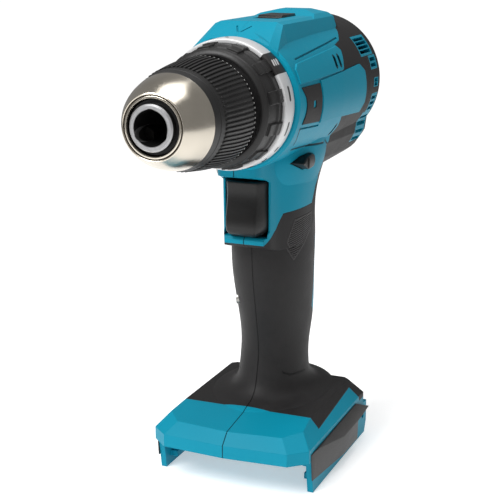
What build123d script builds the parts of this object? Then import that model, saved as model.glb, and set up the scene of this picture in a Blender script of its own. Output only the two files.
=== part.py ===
"""Cordless drill driver with a keyless chuck, without its battery pack.

Millimetres, +Z up, +X towards the chuck, +Y to the tool's left.
The origin lies on the table under the middle of the tool.
"""
from build123d import *
from math import acos, cos, hypot, pi, radians, sin, sqrt, tan
import os

os.makedirs("parts", exist_ok=True)

# ---------------------------------------------------------------- driving sizes
overall_length = 182.0
axis_z = 165.0               # chuck axis above the table
chuck_length = 45.5          # nose tip to the back of the sleeve
collar_gap = 6.3             # sleeve to torque ring
ring_length = 13.0
band_width = 8.3
ring_radius = 25.5
band_radius = 26.6
barrel_radius_front = 28.3
barrel_radius_rear = 30.0
hump_top = 31.5              # above the axis
hump_rise = 2.3              # step up behind the speed selector
hump_half_width = 14.2
hump_front_x = 1.2          # top of the slope in front of the selector
slope_foot = 25.6            # the slope's front end, above the axis
grip_skin = 1.5              # soft overmould
wall = 3.2                   # housing wall, overmould included
foot_half_width = 36.0
foot_floor = 15.4            # underside of the foot plate
foot_top = 28.3
rail_wall = 2.6
pad_stand_off = 3.4          # side pads beyond the foot
running_fit = 0.05           # radial, between turning parts
seat_fit = 0.05              # between a seat and what sits in it
slide_gap = 0.3              # round sliding controls

# ---------------------------------------------------------------- stations along X
nose_x = overall_length / 2
rear_x = -overall_length / 2
sleeve_rear_x = nose_x - chuck_length
ring_front_x = sleeve_rear_x - collar_gap
ring_rear_x = ring_front_x - ring_length
band_rear_x = ring_rear_x - band_width
housing_front_x = band_rear_x - 0.4
cover_joint_x = rear_x + 20.0
axis_line = Axis((0, 0, axis_z), (1, 0, 0))


# ---------------------------------------------------------------- shape helpers
def side_prism(points, half_width):
    """A side-view outline, in X and Z, carried half_width to both sides."""
    with BuildPart() as shape:
        with BuildSketch(Plane.XZ):
            with BuildLine():
                Polyline(*points, close=True)
            make_face()
        extrude(amount=half_width, both=True)
    return shape.part


def turned(points):
    """An outline of (x, radius) points turned about the chuck axis."""
    with BuildPart() as shape:
        with BuildSketch(Plane.XZ):
            with BuildLine():
                Polyline(*[(x, axis_z + r) for x, r in points], close=True)
            make_face()
        revolve(axis=axis_line)
    return shape.part


def ring(x_from, x_to, inner, outer):
    """A plain ring about the chuck axis."""
    return turned([(x_from, inner), (x_to, inner), (x_to, outer), (x_from, outer)])


def box_between(x_range, y_range, z_range):
    """A box given by its limits."""
    size = [high - low for low, high in (x_range, y_range, z_range)]
    middle = [(high + low) / 2 for low, high in (x_range, y_range, z_range)]
    with BuildPart() as shape:
        with Locations(tuple(middle)):
            Box(*size)
    return shape.part


def save(builder, name):
    """Label a finished piece and write it."""
    builder.part.label = name
    export_step(builder.part, f"parts/{name}.step")


# ---------------------------------------------------------------- outer form
handle_sections = [          # height, centre x, half depth, half width
    (axis_z - 12, -30.0, 36.0, 24.0),
    (axis_z - 26, -27.0, 32.5, 22.0),
    (axis_z - 37, -26.5, 29.0, 19.8),
    (axis_z - 50, -27.5, 25.5, 17.6),
    (axis_z - 65, -28.1, 25.9, 17.5),
    (axis_z - 77, -28.2, 25.1, 17.4),
    (axis_z - 93, -30.8, 24.5, 16.3),
    (axis_z - 107, -32.4, 23.1, 15.1),
    (axis_z - 116, -30.8, 20.8, 14.7),
    (foot_top + 12.5, -29.6, 21.2, 14.9),
    (foot_top + 7.0, -29.2, 22.6, 15.6),
    (foot_top + 2.5, -29.0, 26.5, 18.8),
    (foot_top - 1.0, -28.0, 36.0, 27.5),
    (foot_top - 7.0, -28.0, 37.0, 28.0),
]


def barrel_form(inset):
    """The motor and gear barrel, closed by a rounded rear end."""
    front, rear = barrel_radius_front - inset, barrel_radius_rear - inset
    end = rear_x + inset
    rounding = 4.0
    z = axis_z
    with BuildPart() as form:
        with BuildSketch(Plane.XZ):
            with BuildLine():
                Polyline(
                    (end, z), (housing_front_x, z), (housing_front_x, z + front - 1.0),
                    (housing_front_x - 1.5, z + front), (-34.0, z + rear - 0.4),
                    (end + rounding, z + rear),
                )
                RadiusArc((end + rounding, z + rear), (end, z + rear - rounding), -1.15 * rounding)
                Line((end, z + rear - rounding), (end, z))
            make_face()
        revolve(axis=axis_line)
    return form.part


def mirrored(points):
    """A half section of (y, height above the axis) points made whole."""
    left = [(y, axis_z + z) for y, z in points]
    right = [(-y, axis_z + z) for y, z in reversed(points)]
    return left + right


def cross_block(x_from, x_to, section):
    """A half section carried along X."""
    with BuildPart() as block:
        with BuildSketch(Plane.YZ.offset(x_from)):
            with BuildLine():
                Polyline(*mirrored(section), close=True)
            make_face()
        extrude(amount=x_to - x_from)
    return block.part


def cross_loft(stations):
    """Straight-sided blend through half sections at stations along X."""
    with BuildPart() as blend:
        for x, section in stations:
            with BuildSketch(Plane.YZ.offset(x)):
                with BuildLine():
                    Polyline(*mirrored(section), close=True)
                make_face()
        loft(ruled=True)
    return blend.part


def hump_form(inset):
    """The raised top that carries the speed selector."""
    top = hump_top - inset
    high = top + hump_rise
    half = hump_half_width - inset
    front_section = [(half + 5.8, 17.0), (half + 4.8, 20.4 - inset), (half + 1.0, 23.2 - inset),
                     (half - 8.2, slope_foot - inset)]
    low_section = [(half + 4.3, 17.0), (half + 0.9, top - 1.2), (half - 1.7, top - 0.1), (half - 8.2, top)]
    high_section = [(half + 2.3, 24.0 - inset), (half + 0.9, top - 1.2), (half - 1.5, high - 1.6),
                    (half - 8.2, high)]
    rise = [(-35.5, 10.0), (-35.5, top - 1.2), (-49.0, high), (-57.0, high), (-61.0, high - 2.2),
            (-65.0 + inset, high - 9.0), (-65.0 + inset, 10.0)]
    with BuildPart() as form:
        add(cross_block(-70.0, -35.5, high_section))
        add(side_prism([(x, axis_z + z) for x, z in rise], 40), mode=Mode.INTERSECT)
        add(cross_block(-57.0, hump_front_x, low_section))
        add(cross_loft(((hump_front_x, low_section), (housing_front_x, front_section))))
    return form.part


def handle_form(inset):
    """The handle, from inside the barrel down to its flare on the foot."""
    with BuildPart() as form:
        for height, centre, half_depth, half_width in handle_sections:
            with BuildSketch(Plane.XY.offset(height)):
                with Locations((centre, 0)):
                    Ellipse(half_depth - inset, half_width - inset)
        loft()
    return form.part


neck_outline = [
    (-30.0, axis_z - 66), (-4.0, axis_z - 65.5), (5.6, axis_z - 62.6), (7.0, axis_z - 61.2),
    (7.0, axis_z - 59.6), (3.4, axis_z - 55.5), (3.4, axis_z - 34.5), (11.5, axis_z - 31.2),
    (housing_front_x, axis_z - 30.6), (housing_front_x, axis_z - 20), (-30.0, axis_z - 20),
]


neck_plan = [                # trigger housing: x, half width at its floor and at its roof
    (-34.0, 17.2, 21.6), (-25.0, 17.0, 21.2), (-16.0, 16.0, 19.7), (-9.0, 13.9, 16.7), (-4.0, 11.9, 13.5),
    (0.0, 11.0, 11.8), (3.2, 10.5, 11.1), (8.0, 8.0, 10.7), (13.0, 7.0, 9.8), (16.4, 5.2, 7.2),
    (17.3, 2.8, 3.8), (housing_front_x, 0.0, 0.0),
]


def drawn_in(points, inset):
    """A run of points moved by inset to the right of its own direction."""
    moved = []
    for k, (x, y) in enumerate(points):
        before, after = points[max(k - 1, 0)], points[min(k + 1, len(points) - 1)]
        along_x, along_y = after[0] - before[0], after[1] - before[1]
        length = hypot(along_x, along_y)
        moved.append((x + along_y / length * inset, y - along_x / length * inset))
    return moved


def neck_form(inset):
    """The trigger housing between the barrel and the handle."""
    with BuildPart() as form:
        for height, column in ((axis_z - 66, 1), (axis_z - 20, 2)):
            half = [(row[0], row[column]) for row in neck_plan]
            outline = drawn_in(half + [(x, -y) for x, y in reversed(half[:-1])], inset)
            with BuildSketch(Plane.XY.offset(height)):
                with BuildLine():
                    Spline(*outline)
                    Line(outline[-1], outline[0])
                make_face()
        loft(ruled=True)
        add(side_prism(offset_outline(neck_outline, inset), 40), mode=Mode.INTERSECT)
    return form.part


def web_form(inset):
    """The skirt that joins the back of the handle to the underside of the barrel."""
    rear_section = [(24.5 - inset, -15.0), (23.0 - inset, -24.0), (18.5 - inset, -32.0 + inset),
                    (12.0 - inset, -38.0 + inset)]
    front_section = [(y - 2.6, z) for y, z in rear_section]
    outline = [
        (-87.5, -18.0), (-88.0, -25.5), (-85.0, -30.8), (-78.0, -33.2), (-57.0, -36.3),
        (-30.0, -37.5), (-30.0, -16.0), (-87.5, -16.0),
    ]
    raised_outline = [(x, axis_z + z) for x, z in outline]
    with BuildPart() as form:
        add(cross_loft(((-89.0, rear_section), (-30.0, front_section))))
        add(side_prism(offset_outline(raised_outline, inset), 40), mode=Mode.INTERSECT)
    return form.part


def offset_outline(points, inset):
    """A side-view outline drawn in by inset, as a closed face would be."""
    if inset == 0:
        return points
    with BuildSketch() as sketch:
        with BuildLine():
            Polyline(*points, close=True)
        make_face()
        offset(amount=-inset, kind=Kind.INTERSECTION)
    wire = sketch.sketch.faces()[0].outer_wire()
    return [(v.X, v.Y) for v in wire_corners(wire)]


def wire_corners(wire):
    """The corners of a wire in running order."""
    return [edge.start_point() for edge in wire.order_edges()]


foot_front_x = 30.5
foot_rear_x = -58.5


def foot_plan(inset, rise):
    """Half outline of the foot, from the rear middle round to the front middle."""
    side = foot_half_width - inset - rise
    front = foot_front_x - inset - 1.25 * rise
    rear = foot_rear_x + inset + 0.8 * rise
    bow = 1.8
    return [
        (rear, side - 6.0), (rear + 5.0, side), (front - 8.5, side), (front - bow, side - 7.5),
        (front, 0.0), (front - bow, 7.5 - side), (front - 8.5, -side), (rear + 5.0, -side),
        (rear, 6.0 - side),
    ]


def foot_form(inset):
    """The foot plate with its bevelled rim, without the rails under it."""
    rim = foot_top - 7.3
    bevel = 6.2
    with BuildPart() as form:
        with BuildSketch(Plane.XY.offset(foot_floor)):
            with BuildLine():
                Polyline(*foot_plan(inset, 0.0), close=True)
            make_face()
        extrude(amount=rim - foot_floor)
        for height, rise in ((rim, 0.0), (foot_top - inset, bevel)):
            with BuildSketch(Plane.XY.offset(height)):
                with BuildLine():
                    Polyline(*foot_plan(inset, rise), close=True)
                make_face()
        loft(ruled=True)
        slope = [
            (foot_rear_x - 1, foot_floor - 1), (foot_rear_x - 1, foot_top - 6 - inset),
            (foot_rear_x + 8, foot_top - inset), (4.0, foot_top - inset),
            (foot_front_x + 1, foot_top - 3.4 - inset), (foot_front_x + 1, foot_floor - 1),
        ]
        add(side_prism(slope, 50), mode=Mode.INTERSECT)
    return form.part


def tool_form(inset):
    """Everything that the two housing halves enclose, drawn in by inset."""
    with BuildPart() as form:
        add(barrel_form(inset))
        add(hump_form(inset))
        add(handle_form(inset))
        add(neck_form(inset))
        add(web_form(inset))
        add(foot_form(inset))
    return form.part


# ---------------------------------------------------------------- gear train sizes
module = 0.75
sun_teeth = 18
planet_teeth = 15
ring_teeth = sun_teeth + 2 * planet_teeth
planet_orbit = module * (sun_teeth + planet_teeth) / 2
planet_count = 3
gear_width = 8.0
tooth_thinning = 0.16        # backlash taken from each tooth
carrier_radius = 15.5
carrier_thickness = 2.0
pin_radius = 2.0
ring_gear_radius = 21.2
case_wall = 2.3
case_radius = ring_gear_radius + seat_fit + case_wall
case_front_x = housing_front_x + 0.5
case_rear_x = case_front_x - 37.0
case_front_wall = 2.5
stage_pitch = 11.0
first_planet_x = case_rear_x + 1.0          # rear face of the stage 1 planets
stage_x = [first_planet_x + stage_pitch * k for k in range(3)]
neck_radius = 14.5
neck_end_x = ring_front_x + 2.0
bearing_outer = 11.5
spindle_radius = 7.0
thread_radius = 6.2
thread_end_x = nose_x - 31.0


def involute(angle):
    return tan(angle) - angle


def gear_outline(teeth, addendum, dedendum, thinning):
    """Points of a spur gear outline, with one tooth centred on +X."""
    pitch_radius = module * teeth / 2
    base_radius = pitch_radius * cos(radians(20))
    half_at_pitch = pi / 2 / teeth - thinning / 2 / pitch_radius
    radii = [pitch_radius - dedendum, pitch_radius, pitch_radius + addendum]
    flank = []
    for radius in radii:
        pressure = acos(min(1.0, base_radius / radius))
        flank.append((radius, half_at_pitch + involute(radians(20)) - involute(pressure)))
    points = []
    for tooth in range(teeth):
        middle = 2 * pi * tooth / teeth
        for radius, half in flank:
            points.append((radius * cos(middle - half), radius * sin(middle - half)))
        for radius, half in reversed(flank):
            points.append((radius * cos(middle + half), radius * sin(middle + half)))
    return points


def gear_solid(x_from, width, teeth, turn, addendum=0.8, dedendum=1.15, thinning=tooth_thinning, at=(0, 0)):
    """An external gear about an axis along X, at (y, z) from the chuck axis."""
    plane = Plane.YZ.offset(x_from)
    with BuildPart() as gear:
        with BuildSketch(plane):
            with Locations(Location((at[0], axis_z + at[1]), turn)):
                with BuildSketch(mode=Mode.PRIVATE) as teeth_sketch:
                    with BuildLine():
                        Polyline(*gear_outline(teeth, addendum * module, dedendum * module, thinning),
                                 close=True)
                    make_face()
                add(teeth_sketch.sketch)
        extrude(amount=width)
    return gear.part


def planet_places():
    """Angle and (y, z) offset of each planet on its orbit."""
    for k in range(planet_count):
        angle = 360 / planet_count * k
        yield angle, (planet_orbit * cos(radians(angle)), planet_orbit * sin(radians(angle)))


# ---------------------------------------------------------------- motor sizes
motor_radius = 21.0
can_wall = 1.6
motor_front_x = case_rear_x - 2.5
can_rear_x = motor_front_x - 46.0
shaft_radius = 2.5
shaft_bearing_radius = 6.0
shaft_bearing_width = 4.0
magnet_thickness = 2.9
core_radius = 15.6
core_front_x = motor_front_x - 11.5
core_rear_x = core_front_x - 27.0
commutator_radius = 7.5
rear_bearing_x = rear_x + wall + 3.0

# ---------------------------------------------------------------- controls
trigger_travel = 7.0
trigger_half_width = 9.6
trigger_top_z = axis_z - 33.6
trigger_bottom_z = axis_z - 57.8
trigger_front_x = 10.8
trigger_rear_x = 0.0
switch_front_x = trigger_rear_x - trigger_travel - 1.0
switch_rear_x = switch_front_x - 26.0
switch_half_width = 9.5
switch_bottom_z = trigger_bottom_z + 1.0
switch_top_z = trigger_top_z - 0.2
stem_z = (switch_bottom_z + switch_top_z) / 2
stem_half = 3.4
selector_travel = 5.0
selector_x = (-39.0, -22.0)
selector_half_width = 5.5
selector_top_z = axis_z + hump_top + 1.1
lever_half_length = 22.3

# ---------------------------------------------------------------- fasteners
boss_radius = 4.6
screw_head_radius = 2.8
screw_radius = 1.5
screw_places = [             # x, z of the screws that close the two halves
    (11.0, axis_z - 28.2), (-47.0, axis_z + 26.4), (-47.0, axis_z - 35.5), (-43.5, axis_z - 69.0),
    (-14.0, axis_z - 92.0), (-43.0, axis_z - 115.0),
]
foot_boss_radius = 3.4
foot_screw_places = [(18.0, foot_floor + 4.4), (-50.0, foot_floor + 4.4)]
cover_screw_y = motor_radius + 3.5
cover_boss_radius = 3.2

# ---------------------------------------------------------------- colour regions, side view
soft_outline = [             # soft overmould: everything behind and below this line
    (-62.0, axis_z + 40), (-62.0, axis_z + 28.7), (-63.0, axis_z + 26), (-59.0, axis_z + 23.6),
    (-51.0, axis_z + 20.5), (-42.0, axis_z + 19.2), (-43.8, axis_z + 17.8), (-40.8, axis_z + 14.2),
    (-36.5, axis_z + 9.3), (-39.0, axis_z - 11.4), (-41.5, axis_z - 16.0), (-40.8, axis_z - 22.4),
    (-36.0, axis_z - 30.5), (-33.5, axis_z - 32.7), (-28.2, axis_z - 40.6), (-26.0, axis_z - 48.3),
    (-5.5, axis_z - 49.4), (-1.3, axis_z - 55.6), (6.5, axis_z - 61.4), (12.0, axis_z - 63.2),
    (20.0, axis_z - 70), (20.0, foot_top + 12), (3.5, foot_top + 3), (3.5, foot_top - 4.6),
    (-44.0, foot_top - 2.4), (-47.0, foot_top - 9.5), (-100.0, foot_top - 9.5), (-100.0, axis_z + 40),
]
panel_outline = [            # bare panel on the barrel's side
    (-7.8, axis_z + 7.5), (-59.3, axis_z + 9.5), (-64.3, axis_z + 6.2), (-66.6, axis_z - 8.5),
    (-63.5, axis_z - 12.7), (-38.9, axis_z - 11.3), (-9.6, axis_z - 10.2),
]
back_strip_outline = [       # hard strip along the back of the handle
    (-37.0, axis_z - 66), (-36.5, axis_z - 99), (-43.0, axis_z - 104), (-70.0, axis_z - 104),
    (-70.0, axis_z - 61), (-47.0, axis_z - 61),
]
insert_outline = [           # waisted dark insert in front of the panel
    (13.0, axis_z + 6.8), (-7.0, axis_z + 6.6), (-8.8, axis_z - 9.6), (11.2, axis_z - 8.2),
    (9.2, axis_z - 3.5), (8.8, axis_z - 0.5), (9.6, axis_z + 2.6),
]
insert_window = ((-1.1, 1.9), (axis_z - 2.6, axis_z + 0.3))
pad_outline = [              # raised pad above the panel
    (9.8, axis_z + 15.8), (-41.2, axis_z + 18.8), (-43.3, axis_z + 16.9), (-41.1, axis_z + 14.1),
    (-36.8, axis_z + 9.2), (-6.6, axis_z + 8.4), (13.9, axis_z + 8.2), (13.2, axis_z + 14.0),
]
grooves = [                  # engraved lines: two ends each
    ((7.6, axis_z + 17.2), (-50.4, axis_z + 21.4)),
    ((12.3, axis_z - 9.8), (-10.5, axis_z - 11.4)),
]
side_slots = [(-30.5, axis_z + 13.2), (-35.5, axis_z + 13.2), (-37.5, axis_z - 17.3), (-42.5, axis_z - 17.8)]
windows = [                  # cage windows: x from, x to, angle from, angle to (from the top), slots
    (-82.8, -66.0, 48, 64.5, 4), (-84.5, -75.0, 68, 78.5, 2), (-84.8, -78.5, 88, 95, 2),
    (-86.0, -77.5, 103, 118.5, 3), (-86.5, -74.0, 122, 146, 4),
]


def groove_tool(start, end, width):
    """A thin prism over an engraved line, through both sides of the tool."""
    (x1, z1), (x2, z2) = start, end
    length = sqrt((x2 - x1) ** 2 + (z2 - z1) ** 2)
    nx, nz = -(z2 - z1) / length * width / 2, (x2 - x1) / length * width / 2
    return side_prism([(x1 + nx, z1 + nz), (x2 + nx, z2 + nz), (x2 - nx, z2 - nz), (x1 - nx, z1 - nz)], 60)


def radial_box(x_range, angle, half_angle, radii):
    """A box between two radii, at an angle from the top about the chuck axis."""
    inner, outer = radii
    place = Location((sum(x_range) / 2, 0, axis_z)) * Location((0, 0, 0), (-angle, 0, 0))
    with BuildPart() as shape:
        with Locations(place * Location((0, 0, (inner + outer) / 2))):
            Box(x_range[1] - x_range[0], 2 * outer * tan(radians(half_angle)), outer - inner)
    return shape.part


# ---------------------------------------------------------------- housing and overmould
def slope_height(x):
    """Height of the hump's front slope at a station."""
    share = (housing_front_x - x) / (housing_front_x - hump_front_x)
    return axis_z + slope_foot + share * (hump_top - slope_foot)


above_slope = side_prism(    # what the barrel's crown would show through the hump's front slope
    [(housing_front_x + 1.0, slope_height(housing_front_x + 1.0)), (hump_front_x, axis_z + hump_top),
     (hump_front_x, axis_z + 45), (housing_front_x + 1.0, axis_z + 45)],
    13.0,
)
outer_form = tool_form(0) - above_slope
skin_form = tool_form(grip_skin)
hollow_form = tool_form(wall)
floor_wall = 2.2
seat_rings = [               # x from, x to, seat radius
    (housing_front_x - 4.0, housing_front_x + 1, case_radius + seat_fit),
    (case_rear_x + 2.0, case_rear_x + 5.0, case_radius + seat_fit),
    (motor_front_x - 18.0, motor_front_x - 15.0, motor_radius + seat_fit),
    (can_rear_x + 5.0, can_rear_x + 8.0, motor_radius + seat_fit),
]
fork_channel = box_between((-36, 6), (-3.2, 3.2), (axis_z + 22, axis_z + 40))
lead_channel = box_between((-66, -30), (-9.5, 9.5), (axis_z - 33, axis_z - 20))

with BuildPart() as hollow:
    add(hollow_form)
    add(box_between((-70, 40), (-40, 40), (foot_floor - 1, foot_floor + floor_wall)), mode=Mode.SUBTRACT)
    for x_from, x_to, seat in seat_rings:
        seat_ring = ring(x_from, x_to, seat, barrel_radius_rear)
        add(seat_ring - lead_channel - fork_channel, mode=Mode.SUBTRACT)
    for x, z in screw_places:
        with BuildSketch(Plane.XZ) as boss_sketch:
            with Locations((x, z)):
                Circle(boss_radius)
        extrude(amount=40, both=True, mode=Mode.SUBTRACT)
    for x, z in foot_screw_places:
        with BuildSketch(Plane.XZ) as boss_sketch:
            with Locations((x, z)):
                Circle(foot_boss_radius)
        extrude(amount=40, both=True, mode=Mode.SUBTRACT)
    for rib_x in (switch_front_x - 4.0, switch_rear_x + 4.0):
        for side in (1, -1):
            y_range = sorted((side * (switch_half_width + seat_fit), side * 30))
            rib = box_between((rib_x - 1, rib_x + 1), y_range, (switch_bottom_z + 2, switch_top_z - 1))
            add(rib, mode=Mode.SUBTRACT)

with BuildPart() as soft_skin:
    add(outer_form)
    add(skin_form, mode=Mode.SUBTRACT)
    add(side_prism(soft_outline, 60), mode=Mode.INTERSECT)
    add(side_prism(panel_outline, 60) - box_between((-80, 0), (-8, 8), (100, 220)), mode=Mode.SUBTRACT)
    add(side_prism(back_strip_outline, 60), mode=Mode.SUBTRACT)

window_tools = []
fin_tools = []
for x_from, x_to, angle_from, angle_to, slot_count in windows:
    middle = (angle_from + angle_to) / 2
    half = (angle_to - angle_from) / 2
    for side in (1, -1):
        window_tools.append(radial_box((x_from, x_to), side * middle, half, (24, 36)))
        for k in range(slot_count):
            angle = angle_from + (k + 0.5) * (angle_to - angle_from) / slot_count
            fin_tools.append(radial_box((x_from + 1, x_to - 1), side * angle, 1.3, (20, 36)))

rear_opening_radius = 17.0
hard_opening = turned([(rear_x - 1, 0), (rear_x + 4, 0), (rear_x + 4, rear_opening_radius),
                       (rear_x - 1, rear_opening_radius)])
behind_joint = box_between((rear_x - 5, cover_joint_x), (-60, 60), (100, 220))

trigger_recess = box_between(
    (switch_front_x + 0.2, 30), (-trigger_half_width - 0.3, trigger_half_width + 0.3),
    (trigger_bottom_z - 0.6, trigger_top_z + 0.5),
)
window_band = barrel_form(-5) - barrel_form(grip_skin)
with BuildPart() as soft_all:
    add(soft_skin.part)
    add([hard_opening, trigger_recess], mode=Mode.SUBTRACT)
    add([tool & window_band for tool in window_tools], mode=Mode.SUBTRACT)

# raised pads, inserts and engraving on the barrel's sides
raised_regions = side_prism(pad_outline, 60) + side_prism(panel_outline, 60)
raised = (barrel_form(-0.6) - barrel_form(1.0)) & raised_regions
raised = raised - box_between((-90, 40), (-15, 15), (100, 220)) - behind_joint
insert_form = (barrel_form(-0.35) - barrel_form(1.1)) & side_prism(insert_outline, 60)
insert_form = insert_form - box_between((-90, 40), (-15, 15), (100, 220))
insert_form = insert_form - box_between(insert_window[0], (-40, 40), insert_window[1])
engraving = barrel_form(-1.0) - barrel_form(0.5)
arrow_tip_x = 12.6
arrow_rear_x = 5.9
arrow_half_width = 3.5

with BuildPart() as arrow_marks:
    with BuildSketch(Plane.XY.offset(axis_z + 24)):
        with BuildLine():
            Polyline(
                (arrow_rear_x, arrow_half_width), (arrow_tip_x, 0.35), (arrow_tip_x, -0.35),
                (arrow_rear_x, -arrow_half_width), (arrow_rear_x - 0.5, 0.45 - arrow_half_width),
                (arrow_tip_x - 0.9, 0), (arrow_rear_x - 0.5, arrow_half_width - 0.45), close=True,
            )
        make_face()
    extrude(amount=20)
    add(barrel_form(0.6) - above_slope, mode=Mode.SUBTRACT)
    add(hump_form(0.6), mode=Mode.SUBTRACT)

lever_outline = [
    (-5.5, axis_z - 27.6), (-9.8, axis_z - 25.4), (-15.5, axis_z - 24.5), (-19.1, axis_z - 25.4),
    (-20.3, axis_z - 28.0), (-18.6, axis_z - 30.5), (-12.4, axis_z - 30.9),
]


def grown(points, amount):
    """A side-view outline moved outward by amount."""
    return offset_outline(points, -amount)


selector_pocket = box_between(
    (selector_x[0] - slide_gap, selector_x[1] + selector_travel + slide_gap),
    (-selector_half_width - slide_gap, selector_half_width + slide_gap), (selector_top_z - 2.6, axis_z + 60),
)
stem_x = (selector_x[0] + 6.0, selector_x[0] + 11.0)
selector_slot = box_between(
    (stem_x[0] - slide_gap, stem_x[1] + selector_travel + slide_gap), (-4.0, 4.0),
    (axis_z + 20, axis_z + 60),
)
terminal_slot = box_between((-46.3, -27.7), (-15.3, 15.3), (foot_floor - 1, foot_floor + 4))
rail_inner = foot_half_width - rail_wall

with BuildPart() as rails:
    rail_outline = [(16.5, 0), (-56.0, 0), (foot_rear_x, 5.0), (foot_rear_x, foot_floor), (19.2, foot_floor)]
    add(side_prism(rail_outline, foot_half_width))
    add(side_prism([(60, -1), (-80, -1), (-80, foot_floor + 1), (60, foot_floor + 1)], rail_inner),
        mode=Mode.SUBTRACT)
    for side in (1, -1):
        y_range = sorted((side * (rail_inner - 3.2), side * (rail_inner + 1)))
        add(box_between((-54.0, 12.0), y_range, (3.6, 6.2)))
        add(box_between((-57.0, -53.0), y_range, (3.6, foot_floor + 1)))
        rib_range = sorted((side * (rail_inner - 1.6), side * (rail_inner + 1)))
        add(box_between((foot_rear_x + 1, 18.4), rib_range, (foot_floor - 3.0, foot_floor + 1)))
hook_hole_x = -53.0
hook_hole_z = 9.5
hook_hole_radius = 1.65

def hook_hole(side):
    """A blind hole for the hook screw, in one side of the foot."""
    with BuildPart() as hole:
        mouth = (hook_hole_x, side * (foot_half_width + 5), hook_hole_z)
        with Locations(Location(mouth, (-side * 90, 0, 0))):
            Cylinder(hook_hole_radius, 2 * (5 + rail_wall - 1.2))
    return hole.part


def side_slot(x, z):
    """A slanted cooling slot through both sides of the barrel."""
    slot = side_prism([(x + 0.9, z + 1.9), (x - 1.3, z + 2.1), (x - 0.5, z - 1.9), (x + 1.7, z - 2.1)], 60)
    return slot - box_between((-90, 40), (-18, 18), (100, 220))


shell_cuts = [
    soft_all.part, hollow.part, insert_form, trigger_recess, side_prism(grown(lever_outline, slide_gap), 60),
    selector_pocket, selector_slot, terminal_slot, arrow_marks.part, hook_hole(1), hook_hole(-1),
]
shell_cuts += [side_slot(x, z) for x, z in side_slots]
shell_cuts += [groove_tool(start, end, 0.7) & engraving for start, end in grooves]
shell_cuts += fin_tools

with BuildPart() as hard_shell:
    add([outer_form, rails.part, raised])
    add(shell_cuts, mode=Mode.SUBTRACT)


def screw_tool(x, z, head_depth, tip, grow=0.0):
    """A housing screw along Y, or the hole for it when grown."""
    with BuildPart() as screw:
        with BuildSketch(Plane.XZ.offset(head_depth)):
            with Locations((x, z)):
                Circle(screw_head_radius + grow)
        extrude(amount=40 if grow else 2.4)
        with BuildSketch(Plane.XZ.offset(head_depth)):
            with Locations((x, z)):
                Circle(screw_radius + (0.02 if grow else 0.0))
        extrude(amount=-(head_depth + tip))
        if not grow:
            with BuildSketch(Plane.XZ.offset(head_depth + 2.4)):
                with Locations((x, z)):
                    RegularPolygon(1.1, 6)
            extrude(amount=-1.2, mode=Mode.SUBTRACT)
    return screw.part


head_depths = [7.0, 6.0, 9.0, 9.0, 9.0, 8.0]
housing_screw_list = [(x, z, depth, 8.0) for (x, z), depth in zip(screw_places, head_depths)]
housing_screw_list += [(x, z, 20.0, -12.0) for x, z in foot_screw_places]
screw_holes = [screw_tool(x, z, depth, tip + 0.5, 0.3) for x, z, depth, tip in housing_screw_list]


def cover_screw(side, grow=0.0):
    """A screw along X through the rear cover into the housing boss."""
    with BuildPart() as screw:
        with BuildSketch(Plane.YZ.offset(cover_joint_x - 9.0)):
            with Locations((side * cover_screw_y, axis_z)):
                Circle(screw_head_radius + grow)
        extrude(amount=-20 if grow else -2.4)
        with BuildSketch(Plane.YZ.offset(cover_joint_x - 9.0)):
            with Locations((side * cover_screw_y, axis_z)):
                Circle(screw_radius + (0.02 if grow else 0.0))
        extrude(amount=18.0 + (0.5 if grow else 0.0))
    return screw.part


def cover_boss(side):
    """The boss that runs through cover and housing for a cover screw."""
    with BuildPart() as boss:
        with BuildSketch(Plane.YZ.offset(rear_x + 1.5)):
            with Locations((side * cover_screw_y, axis_z)):
                Circle(cover_boss_radius)
        extrude(amount=cover_joint_x - rear_x + 9.5)
    return boss.part


cover_bosses = [(cover_boss(side) & barrel_form(grip_skin)) for side in (1, -1)]
cover_holes = [cover_screw(side, 0.3) for side in (1, -1)]
rear_keep = box_between((rear_x - 5, cover_joint_x), (-80, 80), (-10, 240))

with BuildPart() as casing:
    add([hard_shell.part] + cover_bosses)
    add(screw_holes + cover_holes, mode=Mode.SUBTRACT)

for side, name in ((1, "left"), (-1, "right")):
    side_box = box_between((cover_joint_x, 120), sorted((0, side * 80)), (-10, 240))
    with BuildPart() as housing_half:
        add(casing.part)
        add(side_box, mode=Mode.INTERSECT)
    save(housing_half, f"housing_{name}")

for side, name in ((1, "left"), (-1, "right")):
    side_box = box_between((cover_joint_x, 120), sorted((0, side * 80)), (-10, 240))
    with BuildPart() as grip_half:
        add(soft_all.part)
        add(side_box, mode=Mode.INTERSECT)
        add(screw_holes, mode=Mode.SUBTRACT)
    save(grip_half, f"grip_{name}")

rear_boss = turned([
    (rear_x + wall - 0.5, shaft_radius + 0.5), (rear_bearing_x, shaft_radius + 0.5),
    (rear_bearing_x, shaft_bearing_radius), (rear_bearing_x + shaft_bearing_width, shaft_bearing_radius),
    (rear_bearing_x + shaft_bearing_width, shaft_bearing_radius + 2.0),
    (rear_x + wall - 0.5, shaft_bearing_radius + 2.5),
])
intake_slots = []
for k in range(8):
    intake_slots.append(radial_box((rear_x - 1, rear_x + wall + 1), 22.5 + 45 * k, 3.0, (10.5, 15.5)))
with BuildPart() as rear_cover:
    add(casing.part)
    add(rear_keep, mode=Mode.INTERSECT)
    add(rear_boss)
    add(intake_slots, mode=Mode.SUBTRACT)
save(rear_cover, "rear_cover")

with BuildPart() as rear_bumper:
    add(soft_all.part)
    add(rear_keep, mode=Mode.INTERSECT)
    add(cover_holes, mode=Mode.SUBTRACT)
save(rear_bumper, "rear_bumper")

with BuildPart() as side_inserts:
    add(insert_form)
save(side_inserts, "side_inserts")

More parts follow.
